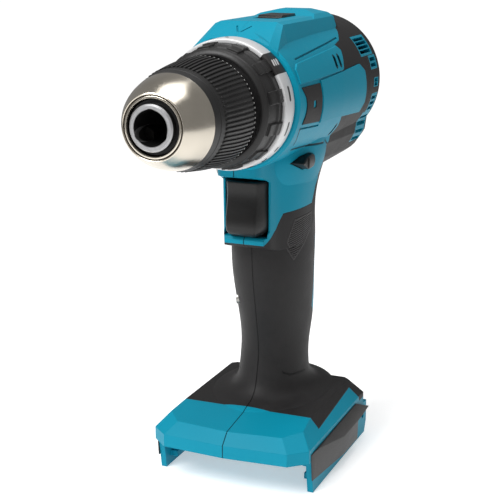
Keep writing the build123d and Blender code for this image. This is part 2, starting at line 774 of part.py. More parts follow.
# ---------------------------------------------------------------- foot pads
pad_outline_side = [
    (20.0, 18.6), (18.6, 6.2), (-34.6, 5.2), (-35.4, 13.6), (-53.0, 14.6), (-41.0, 19.6),
]
pad_reach = foot_half_width + pad_stand_off
with BuildPart() as foot_pads:
    with BuildSketch(Plane.YZ.offset(-70)):
        with BuildLine():
            Polyline((foot_half_width, 0), (pad_reach, 3), (pad_reach, 14.0), (foot_half_width, 20.5),
                     close=True)
        make_face()
        mirror(about=Plane.YZ)
    extrude(amount=120)
    add(side_prism(pad_outline_side, pad_reach + 1), mode=Mode.INTERSECT)
    with BuildSketch(Plane.XY):
        with BuildLine():
            Polyline((21, foot_half_width - 1), (21, foot_half_width + 0.2), (16, foot_half_width + 0.6),
                     (-15, pad_reach), (-53.2, pad_reach), (-53.2, foot_half_width - 1), close=True)
        make_face()
        mirror(about=Plane.XZ)
    extrude(amount=40, mode=Mode.INTERSECT)
save(foot_pads, "foot_pads")

# ---------------------------------------------------------------- screws
with BuildPart() as housing_screws:
    for x, z, depth, tip in housing_screw_list:
        add(screw_tool(x, z, depth, tip))
    for side in (1, -1):
        add(cover_screw(side))
save(housing_screws, "housing_screws")

# ---------------------------------------------------------------- gear case and gear train
fork_x = stage_x[1] + gear_width - 3.2 - selector_travel
fork_width = 1.2
with BuildPart() as gear_case:
    add(turned([
        (case_rear_x, ring_gear_radius + seat_fit),
        (case_front_x - case_front_wall, ring_gear_radius + seat_fit),
        (case_front_x - case_front_wall, spindle_radius + 1.5), (neck_end_x - 14.5, spindle_radius + 1.5),
        (neck_end_x - 14.5, bearing_outer + seat_fit), (neck_end_x, bearing_outer + seat_fit),
        (neck_end_x, neck_radius), (neck_end_x - 0.8, neck_radius), (neck_end_x - 0.8, neck_radius - 0.6),
        (neck_end_x - 2.0, neck_radius - 0.6), (neck_end_x - 2.0, neck_radius), (case_front_x, neck_radius),
        (case_front_x, case_radius), (case_rear_x, case_radius),
    ]))
    fork_slots = [
        box_between((fork_x - 0.3, fork_x + fork_width + selector_travel + 0.3),
                    sorted((side * 19, side * 30)), (axis_z - 1.1, axis_z + 1.1)) for side in (1, -1)
    ]
    add(fork_slots, mode=Mode.SUBTRACT)
save(gear_case, "gear_case")


def ring_gear(x_from, x_to):
    """An internally toothed ring, one tooth space centred on +Y."""
    teeth = gear_solid(x_from - 1, x_to - x_from + 2, ring_teeth, 0, 1.2, 0.8, -tooth_thinning)
    return ring(x_from, x_to, 1.0, ring_gear_radius) - teeth


with BuildPart() as front_ring_gear:
    add(ring_gear(stage_x[2] - 0.6, stage_x[2] + gear_width + 0.6))
save(front_ring_gear, "front_ring_gear")
with BuildPart() as rear_ring_gear:
    add(ring_gear(case_rear_x + 0.3, stage_x[0] + gear_width + 0.2))
save(rear_ring_gear, "rear_ring_gear")
with BuildPart() as shift_ring_gear:
    add(ring_gear(fork_x - 2.0, fork_x + fork_width + 2.0))
    fork_groove = ring(fork_x - 0.1, fork_x + fork_width + 0.1, ring_gear_radius - 0.9, ring_gear_radius + 1)
    add(fork_groove, mode=Mode.SUBTRACT)
save(shift_ring_gear, "shift_ring_gear")

fork_inner = case_radius + 0.25
fork_outer = fork_inner + 1.3
with BuildPart() as shift_fork:
    add(ring(fork_x, fork_x + fork_width, fork_inner, fork_outer))
    add(box_between((fork_x - 1, fork_x + 3), (-40, 40), (axis_z - 40, axis_z - 0.8)), mode=Mode.SUBTRACT)
    for side in (1, -1):
        pin = sorted((side * (ring_gear_radius - 0.8), side * (fork_outer - 0.2)))
        add(box_between((fork_x, fork_x + fork_width), pin, (axis_z - 0.8, axis_z + 0.8)))
    bridge_heights = (axis_z + fork_inner, axis_z + fork_outer)
    add(box_between((stem_x[0], fork_x + fork_width), (-2.5, 2.5), bridge_heights))
save(shift_fork, "shift_fork")

with BuildPart() as speed_selector:
    selector_y = (-selector_half_width, selector_half_width)
    add(box_between(selector_x, selector_y, (selector_top_z - 2.3, selector_top_z)))
    grip_edges = speed_selector.edges().filter_by(Axis.Y).group_by(Axis.Z)[-1]
    chamfer(grip_edges, 0.9)
    for k in range(3):
        mid_x = (selector_x[0] + selector_x[1]) / 2 + 2.4 * (k - 1)
        add(box_between((mid_x - 0.5, mid_x + 0.5), (-selector_half_width + 1.5, selector_half_width - 1.5),
                        (selector_top_z - 0.6, selector_top_z + 1)), mode=Mode.SUBTRACT)
    add(box_between(stem_x, (-3.5, 3.5), (axis_z + fork_outer, selector_top_z - 2.0)))
save(speed_selector, "speed_selector")


def carrier(disc_x, pin_end_x):
    """A carrier disc with its planet pins reaching back."""
    with BuildPart() as shape:
        with BuildSketch(Plane.YZ.offset(disc_x)):
            with Locations((0, axis_z)):
                Circle(carrier_radius)
        extrude(amount=carrier_thickness)
        for angle, (y, z) in planet_places():
            with BuildSketch(Plane.YZ.offset(pin_end_x)):
                with Locations((y, axis_z + z)):
                    Circle(pin_radius)
            extrude(amount=disc_x - pin_end_x)
    return shape.part


for stage in range(3):
    for k, (angle, place) in enumerate(planet_places()):
        with BuildPart() as planet:
            turn = angle + 180 - 180 / planet_teeth
            add(gear_solid(stage_x[stage], gear_width, planet_teeth, turn, at=place))
            with BuildSketch(Plane.YZ.offset(stage_x[stage] - 1)):
                with Locations((place[0], axis_z + place[1])):
                    Circle(pin_radius + running_fit)
            extrude(amount=gear_width + 2, mode=Mode.SUBTRACT)
        save(planet, f"planet_{stage + 1}_{'abc'[k]}")

for stage in (0, 1):
    disc_x = stage_x[stage] + gear_width + 0.4
    with BuildPart() as sun_carrier:
        add(carrier(disc_x, stage_x[stage]))
        add(gear_solid(disc_x + carrier_thickness, stage_pitch - carrier_thickness - 0.8, sun_teeth, 0))
    save(sun_carrier, f"carrier_{stage + 1}")

with BuildPart() as spindle:
    disc_x = stage_x[2] + gear_width + 0.4
    add(carrier(disc_x, stage_x[2]))
    add(turned([
        (disc_x, 0), (thread_end_x, 0), (thread_end_x, thread_radius), (sleeve_rear_x - 1.0, thread_radius),
        (sleeve_rear_x - 1.0, spindle_radius), (disc_x, spindle_radius),
    ]))
    screw_bore = [
        (thread_end_x - 12, 0), (thread_end_x + 1, 0), (thread_end_x + 1, 2.55), (thread_end_x - 12, 2.55),
    ]
    add(turned(screw_bore), mode=Mode.SUBTRACT)
save(spindle, "spindle")

with BuildPart() as spindle_bearing:
    add(ring(neck_end_x - 14.5, neck_end_x - 4.5, spindle_radius + running_fit, bearing_outer))
    for face_x in (neck_end_x - 14.6, neck_end_x - 4.8):
        add(ring(face_x, face_x + 0.4, spindle_radius + 1.2, bearing_outer - 1.2), mode=Mode.SUBTRACT)
save(spindle_bearing, "spindle_bearing")

# ---------------------------------------------------------------- torque ring and clutch
ring_web = 2.8
ring_bore = ring_radius - 3.1
with BuildPart() as torque_ring:
    add(turned([
        (band_rear_x + 0.4, ring_bore), (ring_front_x - ring_web, ring_bore),
        (ring_front_x - ring_web, neck_radius + running_fit), (ring_front_x, neck_radius + running_fit),
        (ring_front_x, ring_radius - 4.6), (ring_front_x - 1.2, ring_radius - 2.6),
        (ring_front_x - 3.0, ring_radius - 1.3), (ring_rear_x, ring_radius),
        (ring_rear_x, ring_radius - 0.9),
        (band_rear_x + 0.4, ring_radius - 0.9),
    ]))
save(torque_ring, "torque_ring")
with BuildPart() as torque_band:
    add(ring(band_rear_x, ring_rear_x, ring_radius - 0.9, band_radius))
save(torque_band, "torque_band")
with BuildPart() as retaining_ring:
    add(ring(neck_end_x - 1.95, neck_end_x - 0.85, neck_radius - 0.55, neck_radius + 2.2))
    add(box_between((neck_end_x - 3, neck_end_x), (-1.5, 1.5), (axis_z, axis_z + 30)), mode=Mode.SUBTRACT)
save(retaining_ring, "retaining_ring")
nut_x = ring_front_x - ring_web - 4.6
with BuildPart() as clutch_nut:
    add(ring(nut_x, nut_x + 4.3, neck_radius + running_fit, ring_bore - 0.15))
save(clutch_nut, "clutch_nut")
with BuildPart() as clutch_plate:
    add(ring(case_front_x + 0.1, case_front_x + 1.7, neck_radius + 0.1, ring_bore - 0.4))
save(clutch_plate, "clutch_plate")
clutch_wire = 1.2
spring_start = case_front_x + 1.8 + clutch_wire
spring_length = nut_x - 0.1 - clutch_wire - spring_start
with BuildPart() as clutch_spring:
    with BuildLine() as coil:
        Helix(spring_length / 4, spring_length, 17.8, center=(spring_start, 0, axis_z), direction=(1, 0, 0))
    with BuildSketch(Plane(coil.line @ 0, z_dir=coil.line % 0)):
        Circle(clutch_wire)
    sweep(is_frenet=True)
save(clutch_spring, "clutch_spring")

# ---------------------------------------------------------------- chuck
jaw_slant = 15.0
jaw_radius = 3.0
jaw_tip_x = nose_x - 13.5
jaw_length = 28.5
jaw_tip_orbit = 7.4
bore_radius = 6.52
bore_floor_x = thread_end_x + 5.4     # behind it, the screw's head has a little more room
jaw_rear_x = jaw_tip_x - jaw_length
slant = tan(radians(jaw_slant))
nut_range = (nose_x - 24.5, nose_x - 18.5)


def jaw_axis_orbit(x):
    """Distance of a jaw's own axis from the chuck axis."""
    return jaw_tip_orbit + (jaw_tip_x - x) * slant


def jaw_bar(x_from, x_to, radius, angle):
    """A round bar along a jaw's slanted path, between two stations."""
    start = Vector(x_from, 0, axis_z + jaw_axis_orbit(x_from))
    end = Vector(x_to, 0, axis_z + jaw_axis_orbit(x_to))
    with BuildPart() as bar:
        with BuildSketch(Plane(origin=start, z_dir=end - start)):
            Circle(radius)
        extrude(amount=(end - start).length)
    return bar.part.rotate(axis_line, angle)


def jaw_outer(x):
    """How far a jaw's outer side stands from the chuck axis."""
    return jaw_axis_orbit(x) + jaw_radius / cos(radians(jaw_slant))


jaw_angles = [0, 120, 240]
sleeve_front_x = nose_x - 15.8
cone_rim_x = nose_x - 1.9
with BuildPart() as chuck_body:
    add(turned([
        (sleeve_rear_x, thread_radius + 0.02), (thread_end_x + 0.5, thread_radius + 0.02),
        (thread_end_x + 0.5, 2.6), (thread_end_x + 1.2, 2.6), (thread_end_x + 1.2, bore_radius + 0.7),
        (bore_floor_x, bore_radius + 0.7), (bore_floor_x, bore_radius), (nose_x, bore_radius), (nose_x, 8.0), (nose_x - 0.6, 8.6), (cone_rim_x - 1.2, 8.6),
        (cone_rim_x - 1.2, 9.9),
        (sleeve_front_x + 1.0, 14.6), (nut_range[1] + 0.5, 14.6), (nut_range[1] + 0.5, 10.6),
        (nut_range[0] - 0.5, 10.6), (nut_range[0] - 0.5, 16.2), (sleeve_rear_x + 3.0, 17.0),
        (sleeve_rear_x + 3.0, 18.3), (sleeve_rear_x, 18.3),
    ]))
    jaw_bores = [jaw_bar(jaw_rear_x - 1.0, nose_x + 3, jaw_radius + 0.06, angle) for angle in jaw_angles]
    add(jaw_bores, mode=Mode.SUBTRACT)
save(chuck_body, "chuck_body")

for k, angle in enumerate(jaw_angles):
    reach = 20.0
    with BuildPart() as jaw_wedge:
        with BuildSketch(Plane.YZ.offset(jaw_rear_x)):
            with BuildLine():
                Polyline((0, axis_z + bore_radius), (reach * sqrt(3), axis_z + bore_radius + reach),
                         (-reach * sqrt(3), axis_z + bore_radius + reach), close=True)
            make_face()
        extrude(amount=jaw_length)
    with BuildPart() as jaw:
        add(jaw_bar(jaw_rear_x - 3, jaw_tip_x + 3, jaw_radius, 0))
        add(jaw_wedge.part, mode=Mode.INTERSECT)
    jaw.part = jaw.part.rotate(axis_line, angle)
    save(jaw, f"chuck_jaw_{'abc'[k]}")

with BuildPart() as chuck_nut:
    add(turned([
        (nut_range[0], jaw_outer(nut_range[0]) + 0.12), (nut_range[1], jaw_outer(nut_range[1]) + 0.12),
        (nut_range[1], 16.2), (nut_range[0], 16.2),
    ]))
save(chuck_nut, "chuck_nut")

with BuildPart() as chuck_sleeve:
    add(turned([
        (sleeve_rear_x, 19.1), (nut_range[0] - 0.2, 19.1), (nut_range[0] - 0.2, 16.2),
        (sleeve_front_x, 16.2),
        (sleeve_front_x, 17.9), (sleeve_front_x - 4.0, 18.7), (sleeve_front_x - 12.0, 20.0),
        (sleeve_front_x - 20.0, 20.8), (sleeve_rear_x + 2.0, 21.2), (sleeve_rear_x, 21.2),
    ]))
save(chuck_sleeve, "chuck_sleeve")

with BuildPart() as chuck_nose:
    with BuildSketch(Plane.XZ):
        with BuildLine():
            z = axis_z
            ThreePointArc((sleeve_front_x, z + 17.9), (nose_x - 7.6, z + 15.6), (cone_rim_x, z + 12.4))
            Polyline((cone_rim_x, z + 12.4), (cone_rim_x + 0.3, z + 11.9), (cone_rim_x, z + 10.9),
                     (cone_rim_x - 1.6, z + 10.9), (sleeve_front_x, z + 16.0), (sleeve_front_x, z + 17.9))
        make_face()
    revolve(axis=axis_line)
save(chuck_nose, "chuck_nose")

with BuildPart() as chuck_screw:
    add(turned([
        (thread_end_x - 10, 0), (thread_end_x + 5.0, 0), (thread_end_x + 5.0, 4.9), (thread_end_x + 1.3, 4.9),
        (thread_end_x + 1.3, 2.5), (thread_end_x - 10, 2.5),
    ]))
    with BuildSketch(Plane.YZ.offset(thread_end_x + 5.0)):
        with Locations((0, axis_z)):
            RegularPolygon(2.3, 6)
    extrude(amount=-2.4, mode=Mode.SUBTRACT)
save(chuck_screw, "chuck_screw")

# ---------------------------------------------------------------- motor
with BuildPart() as motor_can:
    add(turned([
        (can_rear_x, motor_radius - can_wall), (motor_front_x - 1.6, motor_radius - can_wall),
        (motor_front_x - 1.6, shaft_bearing_radius + seat_fit),
        (motor_front_x, shaft_bearing_radius + seat_fit),
        (motor_front_x, motor_radius), (can_rear_x, motor_radius),
    ]))
    outlet_x = (motor_front_x - 8.4, motor_front_x - 3.4)
    outlet_radii = (motor_radius - 4, motor_radius + 2)
    add([radial_box(outlet_x, 22.5 + 45 * k, 11, outlet_radii) for k in range(8)], mode=Mode.SUBTRACT)
save(motor_can, "motor_can")

with BuildPart() as motor_magnets:
    magnet_outer = motor_radius - can_wall - 0.05
    add(ring(core_rear_x - 1.5, core_front_x + 1.5, magnet_outer - magnet_thickness, magnet_outer))
    for k in range(4):
        add(radial_box((core_rear_x - 3, core_front_x + 3), 45 + 90 * k, 6, (10, 24)), mode=Mode.SUBTRACT)
save(motor_magnets, "motor_magnets")

with BuildPart() as motor_shaft:
    add(turned([
        (rear_bearing_x + 0.2, 0), (case_rear_x + 1.0, 0), (case_rear_x + 1.0, shaft_radius),
        (rear_bearing_x + 0.2, shaft_radius),
    ]))
    add(gear_solid(case_rear_x + 0.2, gear_width + stage_x[0] - case_rear_x - 0.4, sun_teeth, 0))
save(motor_shaft, "motor_shaft")

with BuildPart() as rotor_core:
    add(ring(core_rear_x, core_front_x, shaft_radius, core_radius))
    slots_x = (core_rear_x - 1, core_front_x + 1)
    add([radial_box(slots_x, 30 * k, 3.0, (8, 20)) for k in range(12)], mode=Mode.SUBTRACT)
save(rotor_core, "rotor_core")
with BuildPart() as rotor_windings:
    for x_from, x_to in ((core_rear_x - 4.0, core_rear_x), (core_front_x, core_front_x + 3.0)):
        add(ring(x_from, x_to, shaft_radius + 2.5, core_radius - 2.0))
save(rotor_windings, "rotor_windings")
with BuildPart() as commutator:
    commutator_x = core_rear_x - 5.0
    add(ring(commutator_x - 10.0, commutator_x, shaft_radius, commutator_radius))
    add(ring(commutator_x - 1.5, commutator_x + 0.5, shaft_radius, commutator_radius + 1.5))
    bar_gaps_x = (commutator_x - 11, commutator_x - 1.5)
    bar_gap_radii = (commutator_radius - 0.8, commutator_radius + 1)
    add([radial_box(bar_gaps_x, 30 * k + 15, 1.6, bar_gap_radii) for k in range(12)], mode=Mode.SUBTRACT)
save(commutator, "commutator")
with BuildPart() as cooling_fan:
    fan_x = motor_front_x - 8.2
    add(ring(fan_x, fan_x + 1.4, shaft_radius, 17.5))
    add(ring(fan_x, fan_x + 4.6, shaft_radius, 5.0))
    add([radial_box((fan_x, fan_x + 4.6), 40 * k, 2.4, (4.5, 17.0)) for k in range(9)])
save(cooling_fan, "cooling_fan")

with BuildPart() as motor_bearings:
    for start in (motor_front_x - shaft_bearing_width + 0.6, rear_bearing_x):
        add(ring(start, start + shaft_bearing_width, shaft_radius + running_fit, shaft_bearing_radius))
save(motor_bearings, "motor_bearings")

brush_x = commutator_x - 8.0
with BuildPart() as brush_holder:
    holder_x = can_rear_x - 2.5
    add(ring(holder_x, can_rear_x, commutator_radius + 1.8, motor_radius))
    for side in (1, -1):
        z_range = sorted((axis_z + side * (commutator_radius + 1.4), axis_z + side * 18.0))
        add(box_between((brush_x - 1.2, holder_x + 1), (-4.2, 4.2), z_range))
    for side in (1, -1):
        z_range = sorted((axis_z + side * (commutator_radius + 1), axis_z + side * 19.0))
        add(box_between((brush_x, brush_x + 5.0), (-3.0, 3.0), z_range), mode=Mode.SUBTRACT)
save(brush_holder, "brush_holder")
with BuildPart() as brushes:
    for side in (1, -1):
        z_range = sorted((axis_z + side * (commutator_radius + 0.1), axis_z + side * 16.5))
        add(box_between((brush_x + 0.05, brush_x + 4.95), (-2.95, 2.95), z_range))
save(brushes, "brushes")

# ---------------------------------------------------------------- trigger, switch and lever
with BuildPart() as trigger:
    with BuildSketch(Plane.XZ):
        with BuildLine():
            Line((trigger_rear_x, trigger_bottom_z), (trigger_rear_x, trigger_top_z))
            Line((trigger_rear_x, trigger_top_z), (trigger_front_x - 1.4, trigger_top_z))
            Line((trigger_front_x - 1.4, trigger_top_z), (trigger_front_x - 0.6, trigger_top_z - 1.6))
            ThreePointArc((trigger_front_x - 0.6, trigger_top_z - 1.6), (trigger_front_x - 1.2, axis_z - 44),
                          (trigger_front_x + 0.4, trigger_bottom_z + 3.2))
            ThreePointArc((trigger_front_x + 0.4, trigger_bottom_z + 3.2),
                          (trigger_front_x - 0.5, trigger_bottom_z + 0.9),
                          (trigger_front_x - 3.0, trigger_bottom_z))
            Line((trigger_front_x - 3.0, trigger_bottom_z), (trigger_rear_x, trigger_bottom_z))
        make_face()
    extrude(amount=trigger_half_width, both=True)
    with BuildSketch(Plane.XY.offset(trigger_bottom_z - 1)):
        w = trigger_half_width
        edge_x = trigger_front_x - 1.0
        edge_y = w - 3.1
        with BuildLine():
            Line((trigger_rear_x - 1, w), (3.6, w))
            ThreePointArc((3.6, w), (7.6, w - 1.1), (edge_x, edge_y))
            ThreePointArc((edge_x, edge_y), (trigger_front_x, 0), (edge_x, -edge_y))
            ThreePointArc((edge_x, -edge_y), (7.6, 1.1 - w), (3.6, -w))
            Line((3.6, -w), (trigger_rear_x - 1, -w))
            Line((trigger_rear_x - 1, -w), (trigger_rear_x - 1, w))
        make_face()
    extrude(amount=30, mode=Mode.INTERSECT)
    stem_heights = (stem_z - stem_half, stem_z + stem_half)
    add(box_between((switch_front_x - 7.0, trigger_rear_x + 1), (-stem_half, stem_half), stem_heights))
save(trigger, "trigger")

with BuildPart() as switch_body:
    switch_y = (-switch_half_width, switch_half_width)
    add(box_between((switch_rear_x, switch_front_x), switch_y, (switch_bottom_z, switch_top_z)))
    chamfer(switch_body.edges().filter_by(Axis.Y), 1.0)
    half = stem_half + 0.3
    socket_heights = (stem_z - half, stem_z + half)
    socket = box_between((switch_front_x - 15.5, switch_front_x + 1), (-half, half), socket_heights)
    add(socket, mode=Mode.SUBTRACT)
save(switch_body, "switch_body")

spring_wire = 0.4
with BuildPart() as trigger_spring:
    spring_from = switch_front_x + 0.1 + spring_wire
    spring_reach = trigger_rear_x - 0.1 - spring_wire - spring_from
    with BuildLine() as coil:
        Helix(spring_reach / 4, spring_reach, 5.6, center=(spring_from, 0, stem_z), direction=(1, 0, 0))
    with BuildSketch(Plane(coil.line @ 0, z_dir=coil.line % 0)):
        Circle(spring_wire)
    sweep(is_frenet=True)
save(trigger_spring, "trigger_spring")

with BuildPart() as direction_lever:
    add(side_prism(lever_outline, lever_half_length))
save(direction_lever, "direction_lever")

# ---------------------------------------------------------------- battery terminals and leads
with BuildPart() as terminal_block:
    add(box_between((-46.0, -28.0), (-15.0, 15.0), (7.0, foot_floor + 4.6)))
    add(box_between((-49.0, -28.0), (-19.0, 19.0), (8.0, foot_floor - 0.1)))
save(terminal_block, "terminal_block")
with BuildPart() as terminal_blades:
    for y, thickness in ((11.0, 1.0), (0.0, 0.8), (-11.0, 1.0)):
        add(box_between((-28.0, -17.0), (y - thickness / 2, y + thickness / 2), (9.5, 15.0)))
save(terminal_blades, "terminal_blades")


def lead(points, radii, radius):
    """A round wire along straight runs joined by arcs."""
    with BuildPart() as wire:
        with BuildLine() as route:
            FilletPolyline(*points, radius=radii)
        with BuildSketch(Plane(route.line @ 0, z_dir=route.line % 0)):
            Circle(radius)
        sweep()
    return wire.part


lead_radius = 1.2
with BuildPart() as battery_leads:
    for y in (5.0, -5.0):
        add(lead([(-37, y, foot_floor + 4.6), (-37, y, 42), (-30, y * 0.9, 74), (-26, y * 0.9, 95),
                  (-26, y * 0.9, switch_bottom_z)], [40, 60, 60], lead_radius))
save(battery_leads, "battery_leads")
with BuildPart() as motor_leads:
    for y in (5.5, -5.5):
        add(lead([(switch_rear_x, y, axis_z - 38.0), (-38.5, y, axis_z - 38.0), (-44.0, y, axis_z - 26.5),
                  (-58.0, y, axis_z - 24.2), (holder_x + 1.2, y, axis_z - 24.2),
                  (holder_x + 1.2, y, axis_z - motor_radius + 0.45)], [3.2, 8, 20, 2.4], 1.0))
save(motor_leads, "motor_leads")
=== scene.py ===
import math

import bmesh
import bpy
from mathutils import Matrix, Vector


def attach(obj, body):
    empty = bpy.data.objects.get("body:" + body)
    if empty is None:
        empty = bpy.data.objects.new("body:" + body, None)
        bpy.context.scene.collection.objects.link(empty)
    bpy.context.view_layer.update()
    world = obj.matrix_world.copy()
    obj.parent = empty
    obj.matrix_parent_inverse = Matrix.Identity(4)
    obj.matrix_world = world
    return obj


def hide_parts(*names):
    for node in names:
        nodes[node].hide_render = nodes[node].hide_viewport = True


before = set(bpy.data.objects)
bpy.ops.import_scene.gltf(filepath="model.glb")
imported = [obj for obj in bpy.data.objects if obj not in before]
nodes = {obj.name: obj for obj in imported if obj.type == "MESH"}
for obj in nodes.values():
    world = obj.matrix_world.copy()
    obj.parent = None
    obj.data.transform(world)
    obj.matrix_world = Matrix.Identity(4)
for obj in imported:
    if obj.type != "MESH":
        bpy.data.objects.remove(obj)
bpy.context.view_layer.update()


# ---- Motor ---------------------------------------------------------------------------
# A brushed motor: a drawn steel can with ferrite magnets, a laminated and wound rotor
# on a ground shaft, a copper commutator, and carbon brushes in a moulded holder.

class Signal:
    """A shader output that takes part in Python arithmetic."""

    def __init__(self, tree, socket=None):
        self.tree = tree
        self.socket = socket

    def node(self, kind, settings=None, sockets=None, output=0):
        """Any other node: its settings first, then the values or links of its sockets."""
        made = self.tree.nodes.new("ShaderNode" + kind)
        for name, value in (settings or {}).items():
            setattr(made, name, value)
        for name, value in (sockets or {}).items():
            if isinstance(value, Signal):
                self.tree.links.new(value.socket, made.inputs[name])
            else:
                made.inputs[name].default_value = value
        return Signal(self.tree, made.outputs[output])

    def maths(self, operation, *others):
        """A Math node on this value and the others."""
        return self.node("Math", {"operation": operation}, dict(enumerate((self, *others))))

    def __add__(self, other):
        return self.maths("ADD", other)

    def __mul__(self, other):
        return self.maths("MULTIPLY", other)

    def __sub__(self, other):
        return self.maths("SUBTRACT", other)

    def __rsub__(self, other):
        return self.node("Math", {"operation": "SUBTRACT"}, {0: other, 1: self})

    def __abs__(self):
        return self.maths("ABSOLUTE")

    __radd__ = __add__
    __rmul__ = __mul__

    def fade(self, start, end):
        """1 up to start, falling smoothly to 0 at end."""
        limits = {"Value": self, 1: start, 2: end, 3: 1.0, 4: 0.0}
        return self.node("MapRange", {"interpolation_type": "SMOOTHSTEP"}, limits)

    def wave(self, pitch):
        """0 to 1 and back once in each pitch."""
        return (self * (math.tau / pitch)).maths("SINE") * 0.5 + 0.5

    def colours(self, low, high):
        """A colour between two others by this value."""
        return self.node("Mix", {"data_type": "RGBA"}, {0: self, 6: low, 7: high}, output=2)

    def noise(self, scale, detail=2.0, roughness=0.5):
        """Noise about 0.5 over this place, with features about 1 / scale metres across."""
        sockets = {"Vector": self, "Scale": scale, "Detail": detail, "Roughness": roughness}
        return self.node("TexNoise", None, sockets)


class Finish:
    """A material: its shader, the place on the piece, and what varies over it."""

    def __init__(self, name, colour, roughness, metallic=0.0):
        self.material = bpy.data.materials.new(name)
        self.material.use_nodes = True
        tree = self.material.node_tree
        self.shader = tree.nodes["Principled BSDF"]
        self.colour = colour
        self.set("Base Color", (*colour, 1.0))
        self.set("Roughness", roughness)
        self.set("Metallic", metallic)
        self.place = Signal(tree).node("TexCoord", output=3)
        self.x, self.y, self.z = (self.place.node("SeparateXYZ", None, {0: self.place}, k) for k in range(3))

    def set(self, name, value):
        """A constant or a link on one of the shader's own sockets."""
        if isinstance(value, Signal):
            value.tree.links.new(value.socket, self.shader.inputs[name])
        else:
            self.shader.inputs[name].default_value = value

    def tone(self, value, dark, light):
        """The colour drifts between darker and lighter by a value from 0 to 1."""
        low, high = ((*(min(1.0, part * factor) for part in self.colour), 1.0) for factor in (dark, light))
        drift = value.colours(low, high)
        self.set("Base Color", drift)
        return drift

    def relief(self, height, depth, edge=0.0):
        """Bump from a height of 0 to 1, with edges softened to a radius."""
        sockets = {"Distance": depth, "Height": height}
        if edge:
            sockets["Normal"] = self.place.node("Bevel", {"samples": 4}, {"Radius": edge})
        self.set("Normal", self.place.node("Bump", None, sockets))

    def wear(self, *names):
        """Give this material to the CAD nodes named."""
        for name in names:
            nodes[name].data.materials.clear()
            nodes[name].data.materials.append(self.material)


axis_z = 0.165                  # the height of the chuck's axis

can_steel = Finish("drawn_can_steel", (0.09, 0.09, 0.095), 0.4, 1.0)
can_streaks = can_steel.place.noise(260.0, 3.0)
can_steel.tone(can_streaks, 0.8, 1.15)
can_steel.set("Roughness", can_streaks * 0.25 + 0.26)
can_steel.relief(can_steel.place.noise(2400.0), 0.00004, 0.0004)
can_steel.wear("motor_can")

ferrite = Finish("sintered_ferrite", (0.045, 0.045, 0.05), 0.7)
ferrite_grain = ferrite.place.noise(3000.0, 4.0)
ferrite.tone(ferrite_grain, 0.7, 1.5)
ferrite.relief(ferrite_grain, 0.00008)
ferrite.wear("motor_magnets")

sheet_pitch = 0.0005
lamination = Finish("stacked_laminations", (0.22, 0.22, 0.24), 0.45, 1.0)
sheet_edges = lamination.x.wave(sheet_pitch)
lamination.tone(sheet_edges, 0.5, 1.2)
lamination.relief(sheet_edges, 0.00006)
lamination.wear("rotor_core")

wire_pitch = 0.0009
enamel_copper = Finish("enamelled_copper", (0.62, 0.24, 0.1), 0.3, 1.0)
turns = (enamel_copper.x + enamel_copper.y * 0.6).wave(wire_pitch)
enamel_copper.tone(turns, 0.4, 1.2)
enamel_copper.relief(turns, 0.0002)
enamel_copper.wear("rotor_windings")

segment_count = 24
bar_copper = Finish("turned_copper", (0.72, 0.36, 0.2), 0.25, 1.0)
around_shaft = (bar_copper.z - axis_z).maths("ARCTAN2", bar_copper.y)
segments = around_shaft.wave(math.tau / segment_count).fade(0.03, 0.12)
bar_copper.tone(segments, 1.0, 0.15)
bar_copper.set("Roughness", bar_copper.place.noise(900.0) * 0.3 + 0.15)
bar_copper.wear("commutator")

carbon = Finish("pressed_carbon", (0.03, 0.03, 0.032), 0.6)
carbon_grain = carbon.place.noise(5000.0, 4.0)
carbon.tone(carbon_grain, 0.7, 1.6)
carbon.relief(carbon_grain, 0.00006)
carbon.wear("brushes")

nylon = Finish("glass_filled_nylon", (0.012, 0.012, 0.013), 0.5)
nylon_grain = nylon.place.noise(1800.0, 4.0)
nylon.tone(nylon_grain, 0.7, 1.5)
nylon.set("Roughness", nylon_grain * 0.3 + 0.36)
nylon.relief(nylon_grain, 0.00005, 0.0003)
nylon.wear("brush_holder", "cooling_fan", "switch_body", "terminal_block", "rear_ring_gear",
           "clutch_nut", "planet_1_a", "planet_1_b", "planet_1_c")

bronze = Finish("oiled_bronze", (0.42, 0.27, 0.12), 0.4, 1.0)
bronze_pores = bronze.place.noise(3500.0, 4.0)
bronze.tone(bronze_pores, 0.6, 1.2)
bronze.set("Roughness", bronze_pores * 0.3 + 0.25)
bronze.relief(bronze_pores, 0.00003)
bronze.wear("motor_bearings", "spindle_bearing")


# ---- Gear train and clutch -----------------------------------------------------------
# Three planetary stages in a die-cast case: machined steel gears, carriers and pins, a
# bent steel shift fork, and a heavy clutch spring between a steel plate and a nut.

gear_steel = Finish("machined_steel", (0.5, 0.5, 0.51), 0.3, 1.0)
cutter_marks = gear_steel.place.noise(1500.0, 3.0)
gear_steel.tone(cutter_marks, 0.8, 1.2)
gear_steel.set("Roughness", cutter_marks * 0.25 + 0.2)
gear_steel.relief(cutter_marks, 0.00003, 0.0002)
gear_steel.wear("motor_shaft", "front_ring_gear", "shift_ring_gear", "carrier_1", "carrier_2", "spindle",
                "clutch_plate", "chuck_nut", *(f"planet_{stage}_{arm}" for stage in (2, 3) for arm in "abc"))

cast_alloy = Finish("die_cast_alloy", (0.55, 0.55, 0.56), 0.5, 1.0)
cast_skin = cast_alloy.place.noise(1200.0, 5.0, 0.7)
cast_alloy.tone(cast_skin, 0.75, 1.1)
cast_alloy.set("Roughness", cast_skin * 0.3 + 0.35)
cast_alloy.relief(cast_skin, 0.0001, 0.0004)
cast_alloy.wear("gear_case")

spring_wire = Finish("bright_spring_wire", (0.5, 0.5, 0.52), 0.22, 1.0)
drawn_lines = spring_wire.place.noise(900.0)
spring_wire.tone(drawn_lines, 0.8, 1.15)
spring_wire.set("Roughness", drawn_lines * 0.2 + 0.14)
spring_wire.wear("clutch_spring", "shift_fork", "retaining_ring", "trigger_spring")


